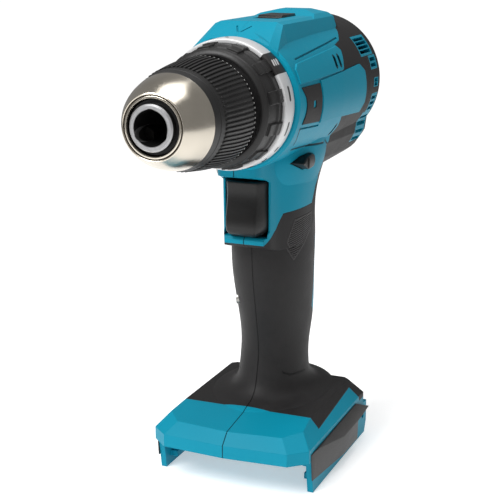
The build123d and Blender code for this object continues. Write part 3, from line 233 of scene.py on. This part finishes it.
# ---- Terminals and leads -------------------------------------------------------------
# Plated brass blades in the foot take the battery's contacts. Soft insulated leads run
# up the handle to the switch, and from the switch to the motor.

plated_brass = Finish("plated_brass", (0.7, 0.55, 0.3), 0.25, 1.0)
plating = plated_brass.place.noise(700.0, 3.0)
plated_brass.tone(plating, 0.8, 1.15)
plated_brass.set("Roughness", plating * 0.2 + 0.15)
plated_brass.wear("terminal_blades")

for lead_name, lead_colour in (("battery_leads", (0.45, 0.02, 0.015)), ("motor_leads", (0.02, 0.02, 0.02))):
    insulation = Finish(lead_name + "_insulation", lead_colour, 0.45)
    sheen = insulation.place.noise(600.0, 3.0)
    insulation.tone(sheen, 0.8, 1.3)
    insulation.relief(sheen, 0.0001)
    insulation.wear(lead_name)


# ---- Housing -------------------------------------------------------------------------
# Two injection-moulded halves and a rear cover in teal nylon with a fine satin grain,
# screwed together on the middle plane, where the seam shows as a thin dark line.

def stroke(a, b, points, half_width, soft):
    """1 on the line through the points, where a and b are the coordinates it is drawn in."""
    nearest = None
    for (a0, b0), (a1, b1) in zip(points, points[1:]):
        run_a, run_b = a1 - a0, b1 - b0
        length = run_a ** 2 + run_b ** 2
        along = (a - a0) * (run_a / length) + (b - b0) * (run_b / length)
        along = along.maths("MAXIMUM", 0.0).maths("MINIMUM", 1.0)
        off_a = a - along * run_a - a0
        off_b = b - along * run_b - b0
        gap = (off_a * off_a + off_b * off_b).maths("SQRT")
        nearest = gap if nearest is None else nearest.maths("MINIMUM", gap)
    return nearest.fade(half_width, half_width + soft)


teal_colour = (0.002, 0.235, 0.345)
seam_half_width = 0.00012
seam_edge = 0.0001
teal = Finish("teal_shell_nylon", teal_colour, 0.42)
teal_grain = teal.place.noise(2600.0, 4.0, 0.6)
teal_flow = teal.place.noise(45.0, 2.0)
below_barrel = (axis_z - teal.z).maths("GREATER_THAN", 0.0)
seam = abs(teal.y).fade(seam_half_width, seam_half_width + seam_edge) * below_barrel
lower_engraving = [(0.006, axis_z - 0.0196), (-0.0308, axis_z - 0.0221)]
rear_engraving = [(-0.0334, axis_z - 0.0214), (-0.0405, axis_z - 0.0245)]
front_engraving = [(0.0087, axis_z - 0.0170), (0.0120, axis_z - 0.0095)]
# The engraved lines are grooves. The near black they get below is painted shade in them, and the bump cuts
# them in too.
grooves_and_their_shade = stroke(teal.x, teal.z, lower_engraving, 0.0003, 0.0002)
for engraving in (rear_engraving, front_engraving):
    grooves_and_their_shade = grooves_and_their_shade.maths("MAXIMUM", stroke(teal.x, teal.z, engraving, 0.0003, 0.0002))
seam_and_painted_shade = seam.maths("MAXIMUM", grooves_and_their_shade)
# Painted shade: a wide near-black stroke down each side slot makes its teal walls look as if they are in
# shadow.
shaded_slot_middles = [(-0.0305, axis_z + 0.0132), (-0.0355, axis_z + 0.0132), (-0.0375, axis_z - 0.0173),
                (-0.0425, axis_z - 0.0178)]
for slot_x, slot_z in shaded_slot_middles:
    slot_shade_stroke = [(slot_x - 0.0002, slot_z + 0.0017), (slot_x + 0.0006, slot_z - 0.0017)]
    seam_and_painted_shade = seam_and_painted_shade.maths("MAXIMUM", stroke(teal.x, teal.z, slot_shade_stroke, 0.0012, 0.0001))
teal_low, teal_high = ((*(part * factor for part in teal_colour), 1.0) for factor in (0.92, 1.08))
teal_body = (teal_flow * 0.7 + teal_grain * 0.3).colours(teal_low, teal_high)
# Near black over the seam, which is a dark joint, and over the grooves and slots, where it is painted shade.
teal.set("Base Color", seam_and_painted_shade.colours(teal_body, (*(part * 0.12 for part in teal_colour), 1.0)))
teal.set("Roughness", teal_grain * 0.14 + teal_flow * 0.06 + 0.33)
teal.set("Specular IOR Level", 0.12)
teal.relief(teal_grain * 0.12 - seam.maths("MAXIMUM", grooves_and_their_shade), 0.0003, 0.0004)
teal.wear("housing_left", "housing_right", "rear_cover")

screw_steel = Finish("zinc_plated_screw", (0.35, 0.34, 0.32), 0.3, 1.0)
screw_marks = screw_steel.place.noise(1300.0, 3.0)
screw_steel.tone(screw_marks, 0.7, 1.2)
screw_steel.set("Roughness", screw_marks * 0.3 + 0.2)
screw_steel.relief(screw_marks, 0.00004, 0.0002)
screw_steel.wear("housing_screws")


# ---- Soft overmould ------------------------------------------------------------------
# Dark elastomer moulded over the handle, the rear of the barrel and the foot's top. It
# is matt and slightly mottled, with a panel of fine ridges on each side of the handle.

def inside(a, b, corners, soft):
    """1 within a convex outline whose corners run anticlockwise in a and b."""
    depth = None
    for (a0, b0), (a1, b1) in zip(corners, corners[1:] + corners[:1]):
        run_a, run_b = a1 - a0, b1 - b0
        length = math.hypot(run_a, run_b)
        gap = (b - b0) * (run_a / length) - (a - a0) * (run_b / length)
        depth = gap if depth is None else depth.maths("MINIMUM", gap)
    return 1.0 - depth.fade(0.0, soft)


ridge_pitch = 0.00098
ridge_panel = [(-0.0085, 0.1023), (-0.0124, 0.1116), (-0.0265, 0.1125), (-0.0278, 0.1050), (-0.0142, 0.0934)]
base_line = [(-0.0112, 0.0470), (-0.0123, 0.0433), (-0.0139, 0.0403), (-0.0171, 0.0386), (-0.0230, 0.0381),
             (-0.0287, 0.0376)]
rubber_colour = (0.016, 0.015, 0.0153)
rubber = Finish("grip_elastomer", rubber_colour, 0.62)
rubber_grain = rubber.place.noise(1900.0, 5.0, 0.65)
rubber_mottle = rubber.place.noise(160.0, 4.0, 0.6)
on_side = 1.0 - abs(rubber.y).fade(0.0095, 0.0105)
panel = inside(rubber.x, rubber.z, ridge_panel, 0.0004) * on_side
panel_edge = stroke(rubber.x, rubber.z, ridge_panel + ridge_panel[:1], 0.00022, 0.0003) * on_side
ridges = (rubber.z + rubber.x * 0.16).wave(ridge_pitch) * panel
rubber_seam = abs(rubber.y).fade(seam_half_width, seam_half_width + seam_edge)
base_mark = stroke(rubber.x, rubber.z, base_line, 0.00025, 0.0002) * on_side
rubber_lines = rubber_seam.maths("MAXIMUM", base_mark)
# The ridges and the panel's raised rim are painted far lighter than the rubber, as a painted highlight on
# them. The same mask raises them in the bump.
ridges_and_painted_highlight = ridges.maths("MAXIMUM", panel_edge)
rubber_low, rubber_high = ((*(part * factor for part in rubber_colour), 1.0) for factor in (0.65, 1.5))
ridge_highlight_colour = (*(part * 3.2 for part in rubber_colour), 1.0)
rubber_body = (ridges_and_painted_highlight * 0.8).colours(rubber_mottle.colours(rubber_low, rubber_high), ridge_highlight_colour)
rubber.set("Base Color", rubber_lines.colours(rubber_body, (0.004, 0.004, 0.004, 1.0)))
rubber.set("Roughness", rubber_mottle * 0.2 + 0.46)
rubber.set("Specular IOR Level", 0.22)
rubber.relief(rubber_grain * 0.15 + ridges_and_painted_highlight * 0.9 - rubber_lines, 0.0005, 0.0005)
rubber.wear("grip_left", "grip_right", "rear_bumper", "side_inserts")


# ---- Foot pads -----------------------------------------------------------------------
# A hard dark pad on each side of the foot guards the shell where the tool lies down. It
# is moulded with a bevelled outline and snapped into the side wall.

mm = 0.001


def deselect():
    """Nothing is selected before a piece is made."""
    bpy.ops.object.select_all(action="DESELECT")


def edit(piece):
    """Open a piece in edit mode with all of it selected."""
    deselect()
    piece.select_set(True)
    bpy.context.view_layer.objects.active = piece
    bpy.ops.object.mode_set(mode="EDIT")
    bpy.ops.mesh.select_mode(type="FACE")
    bpy.ops.mesh.select_all(action="SELECT")


def pick(kind, wanted):
    """Select the verts, edges or faces whose middle passes the test."""
    bpy.ops.mesh.select_mode(type={"verts": "VERT", "edges": "EDGE", "faces": "FACE"}[kind])
    bpy.ops.mesh.select_all(action="DESELECT")
    mesh = bmesh.from_edit_mesh(bpy.context.object.data)
    for part in getattr(mesh, kind):
        if kind == "verts":
            middle = part.co
        elif kind == "edges":
            middle = (part.verts[0].co + part.verts[1].co) / 2
        else:
            middle = part.calc_center_median()
        part.select_set(wanted(middle, part))
    mesh.select_flush_mode()
    bmesh.update_edit_mesh(bpy.context.object.data)


def merged_copy(name, node):
    """A copy of a CAD node with its loose triangles joined into whole faces."""
    piece = bpy.data.objects.new(name, nodes[node].data.copy())
    bpy.context.scene.collection.objects.link(piece)
    edit(piece)
    bpy.ops.mesh.remove_doubles(threshold=0.002 * mm)
    bpy.ops.mesh.dissolve_limited(angle_limit=math.radians(0.5))
    bpy.ops.object.mode_set(mode="OBJECT")
    return piece


def eased(piece, width, angle, segments=3):
    """Round the edges sharper than an angle, and smooth the rest."""
    edges = piece.modifiers.new("edges", "BEVEL")
    edges.width = width
    edges.segments = segments
    edges.limit_method = "ANGLE"
    edges.angle_limit = math.radians(angle)
    edges.use_clamp_overlap = True
    deselect()
    piece.select_set(True)
    bpy.context.view_layer.objects.active = piece
    bpy.ops.object.modifier_apply(modifier="edges")
    bpy.ops.object.shade_smooth_by_angle(angle=math.radians(32))


def place_piece(piece, finish, body, slot, *replaced):
    """The finished piece gets its material and its body, and the CAD nodes it stands for are hidden."""
    piece.data.materials.clear()
    piece.data.materials.append(finish.material)
    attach(piece, body)
    if replaced:
        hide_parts(*replaced)


pad_plastic = Finish("foot_pad_plastic", (0.022, 0.0205, 0.0205), 0.5)
pad_grain = pad_plastic.place.noise(2200.0, 4.0)
pad_plastic.tone(pad_plastic.place.noise(120.0, 3.0), 0.7, 1.4)
pad_plastic.set("Roughness", pad_grain * 0.2 + 0.38)
pad_plastic.set("Specular IOR Level", 0.35)
pad_plastic.relief(pad_grain, 0.00005)
pads = merged_copy("pads_on_foot", "foot_pads")
eased(pads, 0.5 * mm, 15)
place_piece(pads, pad_plastic, "tool_body", "grip_rubber", "foot_pads")


# ---- Trigger -------------------------------------------------------------------------
# A black nylon trigger with a hollowed front for the finger, flat side flanks and soft
# edges. It slides straight back on a square stem into the switch.

gloss_black = Finish("polished_black_nylon", (0.009, 0.0086, 0.0086), 0.36)
gloss_grain = gloss_black.place.noise(1500.0, 4.0)
gloss_black.tone(gloss_black.place.noise(90.0, 3.0), 0.7, 1.4)
gloss_black.set("Roughness", gloss_grain * 0.14 + 0.28)
gloss_black.set("Specular IOR Level", 0.3)
gloss_black.relief(gloss_grain, 0.00004)

trigger_stations = [            # height, depth and width as shares of the widest
    (107.6, 0.74, 0.80), (108.3, 0.88, 0.90), (109.8, 0.99, 0.97), (112.2, 1.02, 1.0),
    (115.4, 0.98, 1.0), (118.6, 0.90, 1.0), (122.0, 0.83, 1.0), (125.2, 0.80, 1.0),
    (127.8, 0.82, 1.0), (129.8, 0.86, 1.0), (131.0, 0.87, 0.98),
]
trigger_depth = 10.6
trigger_half_width = 9.6
first_height, depth_share, width_share = trigger_stations[0]
deselect()
bpy.ops.mesh.primitive_cube_add(
    size=1.0, location=(trigger_depth / 2 * mm, 0, (first_height - 0.35) * mm),
    scale=(trigger_depth * mm, 2 * trigger_half_width * mm, 0.7 * mm))
trigger = bpy.context.object
trigger.name = "finger_trigger"
bpy.ops.object.transform_apply(location=True, rotation=True, scale=True)
edit(trigger)
pick("edges", lambda middle, edge: middle.x > 0.9 * trigger_depth * mm
     and abs(edge.verts[0].co.z - edge.verts[1].co.z) > 0.5 * mm)
bpy.ops.mesh.bevel(offset=3.0 * mm, segments=1, affect="EDGES")
pick("verts", lambda place, vert: abs(place.y) > 8.9 * mm and 4 * mm < place.x < 9 * mm)
bpy.ops.transform.translate(value=(-4.0 * mm, 0, 0))
pick("faces", lambda middle, face: face.normal.z < -0.9)
bpy.ops.transform.resize(value=(0.62, 0.66, 1), center_override=(0, 0, 107.2 * mm))
pick("faces", lambda middle, face: face.normal.z > 0.9)
bpy.ops.transform.resize(value=(depth_share, width_share, 1), center_override=(0, 0, first_height * mm))
height = first_height
for next_height, next_depth, next_width in trigger_stations[1:]:
    bpy.ops.mesh.extrude_region_move(
        TRANSFORM_OT_translate={"value": (0, 0, (next_height - height) * mm)})
    bpy.ops.transform.resize(value=(next_depth / depth_share, next_width / width_share, 1),
                             center_override=(0, 0, next_height * mm))
    height, depth_share, width_share = next_height, next_depth, next_width
bpy.ops.object.mode_set(mode="OBJECT")
eased(trigger, 0.9 * mm, 38, 4)
place_piece(trigger, gloss_black, "trigger", "trigger_plastic", "trigger")


# ---- Direction lever and speed selector ----------------------------------------------
# The lever is one black nylon bar through the housing, with a finger rib on both ends.
# The selector slides in a pocket on top, and its stem moves the shift fork.

def block(name, low, high):
    """A plain block between two corners in millimetres, to be joined to another piece."""
    size = [(b - a) * mm for a, b in zip(low, high)]
    centre = [(a + b) / 2 * mm for a, b in zip(low, high)]
    deselect()
    bpy.ops.mesh.primitive_cube_add(size=1.0, location=centre, scale=size)
    piece = bpy.context.object
    piece.name = name
    bpy.ops.object.transform_apply(location=True, rotation=True, scale=True)
    return piece


def joined(piece, others):
    """Several pieces become one."""
    deselect()
    for other in others:
        other.select_set(True)
    piece.select_set(True)
    bpy.context.view_layer.objects.active = piece
    bpy.ops.object.join()


lever = merged_copy("reversing_lever", "direction_lever")
eased(lever, 0.6 * mm, 20)
rib = block("lever_rib", (-12.2, -22.8, 134.9), (-10.6, 22.8, 139.3))
eased(rib, 0.4 * mm, 30)
joined(lever, [rib])
place_piece(lever, gloss_black, "direction_lever", "trigger_plastic", "direction_lever")

selector = merged_copy("speed_slider", "speed_selector")
eased(selector, 0.3 * mm, 20)
place_piece(selector, gloss_black, "speed_shift", "dark_plastic", "speed_selector")


# ---- Torque collar -------------------------------------------------------------------
# A black nylon ring with twelve gripping teeth turns to set the clutch. A silver band
# with printed marks is pressed onto its rear, and a dark stretch marks drilling.

def turn(name, segments, profile):
    """A ring turned about the chuck's axis from its (x, radius) stations in millimetres."""
    deselect()
    x, radius = profile[0]
    bpy.ops.mesh.primitive_circle_add(vertices=segments, radius=radius * mm,
                                      location=(x * mm, 0, axis_z), rotation=(0, math.pi / 2, 0))
    piece = bpy.context.object
    piece.name = name
    bpy.ops.object.transform_apply(location=True, rotation=True, scale=True)
    edit(piece)
    bpy.ops.mesh.select_mode(type="EDGE")
    bpy.ops.mesh.select_all(action="SELECT")
    for next_x, next_radius in profile[1:] + profile[:1]:
        bpy.ops.mesh.extrude_region_move(TRANSFORM_OT_translate={"value": ((next_x - x) * mm, 0, 0)})
        growth = next_radius / radius
        bpy.ops.transform.resize(value=(1, growth, growth), center_override=(next_x * mm, 0, axis_z))
        x, radius = next_x, next_radius
    bpy.ops.mesh.select_all(action="SELECT")
    bpy.ops.mesh.remove_doubles(threshold=0.004 * mm)
    bpy.ops.mesh.normals_make_consistent(inside=False)
    bpy.ops.object.mode_set(mode="OBJECT")
    return piece


def clock(place):
    """A place's angle about the chuck's axis in degrees, from the top towards the left."""
    return math.degrees(math.atan2(place.y, place.z - axis_z))


def out_from_axis(place):
    """A place's distance from the chuck's axis in millimetres."""
    return math.hypot(place.y, place.z - axis_z) / mm


tooth_count = 12
tooth_pitch = 360 / tooth_count
tooth_turn = 18.0               # the first tooth's angle
tooth_half = 6.1
collar = turn("torque_collar_ring", 240, [
    (26.2, 22.4), (26.2, 24.55), (29.6, 24.45), (30.4, 23.8), (33.0, 23.6), (35.6, 23.4), (36.9, 23.1),
    (37.2, 23.5), (37.9, 23.3), (38.5, 22.7), (39.1, 21.7), (39.2, 20.9), (38.9, 20.5), (38.2, 20.6),
    (37.9, 19.6), (37.9, 14.6), (36.4, 14.6), (36.4, 22.4),
])
edit(collar)
pick("faces", lambda middle, face: 26.2 < middle.x / mm < 35.9 and out_from_axis(middle) > 22.9
     and abs((clock(middle) - tooth_turn + tooth_pitch / 2) % tooth_pitch - tooth_pitch / 2) < tooth_half)
bpy.ops.mesh.extrude_region_shrink_fatten(TRANSFORM_OT_shrink_fatten={"value": 0.95 * mm})
bpy.ops.object.mode_set(mode="OBJECT")
eased(collar, 0.5 * mm, 40, 4)

collar_plastic = Finish("torque_ring_nylon", (0.013, 0.0125, 0.0125), 0.45)
collar_grain = collar_plastic.place.noise(2000.0, 4.0)
collar_plastic.tone(collar_plastic.place.noise(150.0, 3.0), 0.75, 1.35)
collar_plastic.set("Roughness", collar_grain * 0.2 + 0.33)
collar_plastic.set("Specular IOR Level", 0.35)
collar_plastic.relief(collar_grain, 0.00006)
place_piece(collar, collar_plastic, "torque_collar", "dark_plastic", "torque_ring")

band = turn("torque_scale_band", 240, [
    (17.9, 24.6), (17.9, 26.4), (18.1, 26.6), (25.6, 26.35), (26.1, 26.15), (26.2, 25.9), (26.2, 24.6),
])
eased(band, 0.12 * mm, 40)
ink = (0.012, 0.011, 0.011, 1.0)
silver = Finish("silver_scale_band", (0.44, 0.44, 0.45), 0.36, 0.35)
silver_grain = silver.place.noise(2400.0, 4.0)
band_angle = silver.y.maths("ARCTAN2", silver.z - axis_z)
band_run = band_angle * (26.2 * mm)


def arc(degrees):
    """The run round the band to an angle, from the top."""
    return math.radians(degrees) * 26.2 * mm


drill_stretch = inside(silver.x, band_run,
                       [(0.0, arc(37.9)), (0.05, arc(37.9)), (0.05, arc(59.7)), (0.0, arc(59.7))],
                       0.00008)
bars = None
for bar_x in (0.0201, 0.0221, 0.0241):
    bar = stroke(silver.x, band_run,
                 [(bar_x - 0.0005, arc(46.6)), (bar_x + 0.0005, arc(50.6))], 0.00055, 0.0001)
    bars = bar if bars is None else bars.maths("MAXIMUM", bar)
ticks = None
for tick in (78.0, 109.0):
    mark = stroke(silver.x, band_run, [(0.0220, arc(tick - 5.0)), (0.0220, arc(tick + 5.0))], 0.00075, 0.0001)
    ticks = mark if ticks is None else ticks.maths("MAXIMUM", mark)
top_mark = stroke(silver.x, band_run, [(0.0200, arc(-4.0)), (0.0218, arc(-1.0))], 0.0006, 0.0001)
printed = drill_stretch.maths("MAXIMUM", ticks).maths("MAXIMUM", top_mark) - bars
silver_low, silver_high = (0.58, 0.58, 0.585, 1.0), (0.70, 0.70, 0.705, 1.0)
silver.set("Base Color", printed.colours(silver_grain.colours(silver_low, silver_high), ink))
silver.set("Metallic", 0.35 - printed * 0.35)
silver.set("Roughness", silver_grain * 0.2 + 0.3)
silver.relief(silver_grain, 0.00003)
place_piece(band, silver, "torque_collar", "band_silver", "torque_band")

ink_finish = Finish("printed_ink", (0.012, 0.011, 0.011), 0.5)
ink_grain = ink_finish.place.noise(3000.0, 3.0)
ink_finish.tone(ink_grain, 0.7, 1.4)
ink_finish.set("Roughness", ink_grain * 0.2 + 0.4)
numerals = []
numeral_height = 3.6
for k in range(14):
    angle = math.radians(130.0 + 15.0 * k)
    radial = Vector((0, math.sin(angle), math.cos(angle)))
    upward = Vector((0, -math.cos(angle), math.sin(angle)))
    face = Matrix((Vector((-1, 0, 0)), upward, radial)).transposed().to_4x4()
    deselect()
    bpy.ops.object.text_add()
    numeral = bpy.context.object
    numeral.data.body = str(k + 1)
    numeral.data.align_x = "CENTER"
    numeral.data.align_y = "CENTER"
    numeral.data.size = numeral_height * mm
    numeral.data.extrude = 0.12 * mm
    numeral.data.resolution_u = 4
    bpy.ops.object.convert(target="MESH")
    spot = Vector((21.8 * mm, 0, axis_z)) + radial * 26.6 * mm
    numeral.matrix_world = Matrix.Translation(spot) @ face
    bpy.ops.object.transform_apply(location=True, rotation=True, scale=True)
    numerals.append(numeral)
joined(numerals[0], numerals[1:])
numerals[0].name = "torque_scale_numbers"
place_piece(numerals[0], ink_finish, "torque_collar", "band_silver")


# ---- Chuck ---------------------------------------------------------------------------
# A keyless three-jaw chuck: a bright steel body and hardened jaws inside, a ribbed black
# sleeve to grip, and a satin nickel nose cone with a rolled double rim.

tube_steel = Finish("chuck_tube_steel", (0.52, 0.52, 0.55), 0.38, 0.7)
tube_height = tube_steel.z - axis_z
tube_radius = (tube_steel.y * tube_steel.y + tube_height * tube_height).maths("SQRT")
bore_shade = tube_radius.fade(0.00655, 0.0069)
face_shade = tube_steel.place.noise(800.0, 3.0)
tube_low, tube_high = (0.33, 0.33, 0.335, 1.0), (0.44, 0.44, 0.445, 1.0)
# Painted shade: near black inside the bore and on the tube's side behind the nose's rim, where the gap lies
# in shadow.
rim_gap_shade = ((tube_radius - 0.00845).maths("GREATER_THAN", 0.0)
              * (0.0903 - tube_steel.x).maths("GREATER_THAN", 0.0))
tube_shade = bore_shade.maths("MAXIMUM", rim_gap_shade)
tube_steel.set("Base Color",
               tube_shade.colours(face_shade.colours(tube_low, tube_high), (0.02, 0.02, 0.02, 1.0)))
tube_steel.set("Roughness", face_shade * 0.25 + 0.28)
tube_steel.relief(tube_radius.wave(0.0003) * 0.5 + face_shade * 0.5, 0.00002, 0.0002)
tube_steel.wear("chuck_body")

hard_steel = Finish("hardened_jaw_steel", (0.16, 0.15, 0.14), 0.35, 1.0)
jaw_marks = hard_steel.place.noise(1800.0, 3.0)
hard_steel.tone(jaw_marks, 0.6, 1.4)
hard_steel.set("Roughness", jaw_marks * 0.25 + 0.25)
hard_steel.relief(jaw_marks, 0.00004, 0.0002)
hard_steel.wear("chuck_jaw_a", "chuck_jaw_b", "chuck_jaw_c", "chuck_screw")

rib_pitch = 5.0                 # degrees
rib_half = 1.3
rib_front_x = 68.2
sleeve = turn("ribbed_sleeve", 288, [
    (45.5, 19.1), (45.5, 20.4), (45.9, 20.75), (47.2, 20.7), (50.5, 20.65), (55.2, 20.4), (59.2, 20.0),
    (63.2, 19.5), (66.2, 19.1), (68.2, 18.9), (68.6, 19.15), (71.2, 18.65), (71.4, 18.45), (75.0, 17.9),
    (75.2, 17.7), (75.2, 16.2), (66.3, 16.2), (66.3, 19.1),
])
edit(sleeve)
pick("faces", lambda middle, face: 46.0 < middle.x / mm < rib_front_x and out_from_axis(middle) > 18.9
     and face.normal.x < 0.5 and abs(clock(middle) % rib_pitch - rib_pitch / 2) < rib_half)
bpy.ops.mesh.extrude_region_shrink_fatten(TRANSFORM_OT_shrink_fatten={"value": 0.7 * mm})
bpy.ops.object.mode_set(mode="OBJECT")
eased(sleeve, 0.2 * mm, 42, 2)

sleeve_nylon = Finish("sleeve_nylon", (0.011, 0.0105, 0.0105), 0.45)
sleeve_grain = sleeve_nylon.place.noise(2200.0, 4.0)
# Painted highlights: a row of light dots round the sleeve's rear rim, one per rib, standing for glints on the
# rim's serrations.
glint_row_x = 46.3
around_sleeve = sleeve_nylon.y.maths("ARCTAN2", sleeve_nylon.z - axis_z) * (180 / math.pi)
across = (around_sleeve * (1 / rib_pitch)).maths("FRACT") - 0.5
glint_gap = across * (rib_pitch * math.radians(1) * 21 * mm)
glint_run = sleeve_nylon.x - glint_row_x * mm
serration_glints = (glint_gap * glint_gap + glint_run * glint_run).maths("SQRT").fade(0.00022, 0.00036)
sleeve_low, sleeve_high = (0.007, 0.0068, 0.0068, 1.0), (0.015, 0.0145, 0.0145, 1.0)
sleeve_body = sleeve_nylon.place.noise(140.0, 3.0).colours(sleeve_low, sleeve_high)
sleeve_nylon.set("Base Color", serration_glints.colours(sleeve_body, (0.6, 0.6, 0.58, 1.0)))
sleeve_nylon.set("Roughness", sleeve_grain * 0.2 + 0.32)
sleeve_nylon.set("Specular IOR Level", 0.4)
sleeve_nylon.relief(sleeve_grain, 0.00005)
place_piece(sleeve, sleeve_nylon, "chuck_collar", "dark_plastic", "chuck_sleeve")

nose = turn("nose_cone", 192, [
    (75.2, 16.2), (75.2, 17.75), (75.5, 17.95), (77.4, 17.5), (79.6, 16.95), (81.6, 16.3), (83.4, 15.6),
    (85.1, 14.75), (86.7, 13.85), (88.2, 13.0), (88.9, 12.6), (89.35, 12.35), (89.5, 12.05), (89.4, 11.75),
    (88.85, 11.62), (88.85, 11.35), (89.2, 11.2), (89.35, 10.85), (89.3, 10.5), (89.0, 10.25), (88.4, 10.2),
    (87.5, 10.4), (86.4, 11.2),
])
eased(nose, 0.1 * mm, 50, 2)
nickel = Finish("satin_nickel", (0.58, 0.53, 0.45), 0.2, 1.0)
nickel_radius = (nickel.y * nickel.y + (nickel.z - axis_z) * (nickel.z - axis_z)).maths("SQRT")
turned_lines = nickel.x.wave(0.00023)
nickel_cloud = nickel.place.noise(90.0, 3.0)
groove = nickel_radius - 0.01148
groove_shade = abs(groove).fade(0.00012, 0.0003) * (nickel.x - 0.0885).maths("GREATER_THAN", 0.0)
nickel_low, nickel_high = (0.52, 0.475, 0.40, 1.0), (0.64, 0.59, 0.51, 1.0)
nickel_body = nickel_cloud.colours(nickel_low, nickel_high)
nickel.set("Base Color", groove_shade.colours(nickel_body, (0.06, 0.05, 0.04, 1.0)))
nickel.set("Roughness", nickel_cloud * 0.1 + nickel.place.noise(1500.0) * 0.06 + 0.14)
nickel.relief(turned_lines, 0.000004)
place_piece(nose, nickel, "chuck_collar", "chuck_steel", "chuck_nose")


# ---- Studio --------------------------------------------------------------------------
# A pale floor under soft white light from above and in front, and a long lens that looks
# at the tool's left side from in front of the chuck and a little above it.

deselect()
bpy.ops.mesh.primitive_plane_add(size=1.4, location=(0, 0, -0.0002))
floor = bpy.context.object
floor.name = "studio_floor"
floor_paint = Finish("pale_floor_paint", (0.86, 0.86, 0.86), 0.7)
floor_cloud = floor_paint.place.noise(3.0, 2.0)
floor_paint.tone(floor_cloud, 0.99, 1.01)
floor_paint.set("Emission Color", (1.0, 1.0, 1.0, 1.0))
floor_paint.set("Emission Strength", 0.45)
floor.data.materials.append(floor_paint.material)

scene = bpy.context.scene
scene.view_settings.view_transform = "Standard"
world = bpy.data.worlds.new("studio_air")
world.use_nodes = True
air = Signal(world.node_tree)
room = air.node("Background", None, {"Color": (1.0, 1.0, 1.0, 1.0), "Strength": 0.28})
backdrop = air.node("Background", None, {"Color": (1.0, 1.0, 1.0, 1.0), "Strength": 1.05})
seen = air.node("LightPath")
world.node_tree.links.new(air.node("MixShader", None, {0: seen, 1: room, 2: backdrop}).socket,
                          world.node_tree.nodes["World Output"].inputs["Surface"])
scene.world = world


def soft_box(name, place, aim, size, watts):
    """A square area light pointing at a spot."""
    light = bpy.data.lights.new(name, "AREA")
    light.size = size
    light.energy = watts
    lamp = bpy.data.objects.new(name, light)
    lamp.location = place
    lamp.rotation_euler = (Vector(aim) - Vector(place)).to_track_quat("-Z", "Y").to_euler()
    scene.collection.objects.link(lamp)


tool_middle = (0.0, 0.0, 0.12)
soft_box("key_light", (0.75, -0.35, 0.95), tool_middle, 0.6, 14.5)
soft_box("fill_light", (0.5, 0.9, 0.5), tool_middle, 0.8, 0.35)
soft_box("top_light", (-0.1, 0.1, 1.2), tool_middle, 0.8, 6.0)

lens = bpy.data.cameras.new("portrait_lens")
lens.lens = 88.26
lens.sensor_width = 36.0
camera = bpy.data.objects.new("portrait_camera", lens)
camera.location = (0.4712, 0.1955, 0.2308)
sight = Vector((0.0062, 0.00259, 0.10123)) - Vector(camera.location)
camera.rotation_euler = sight.to_track_quat("-Z", "Y").to_euler()
scene.collection.objects.link(camera)
scene.camera = camera
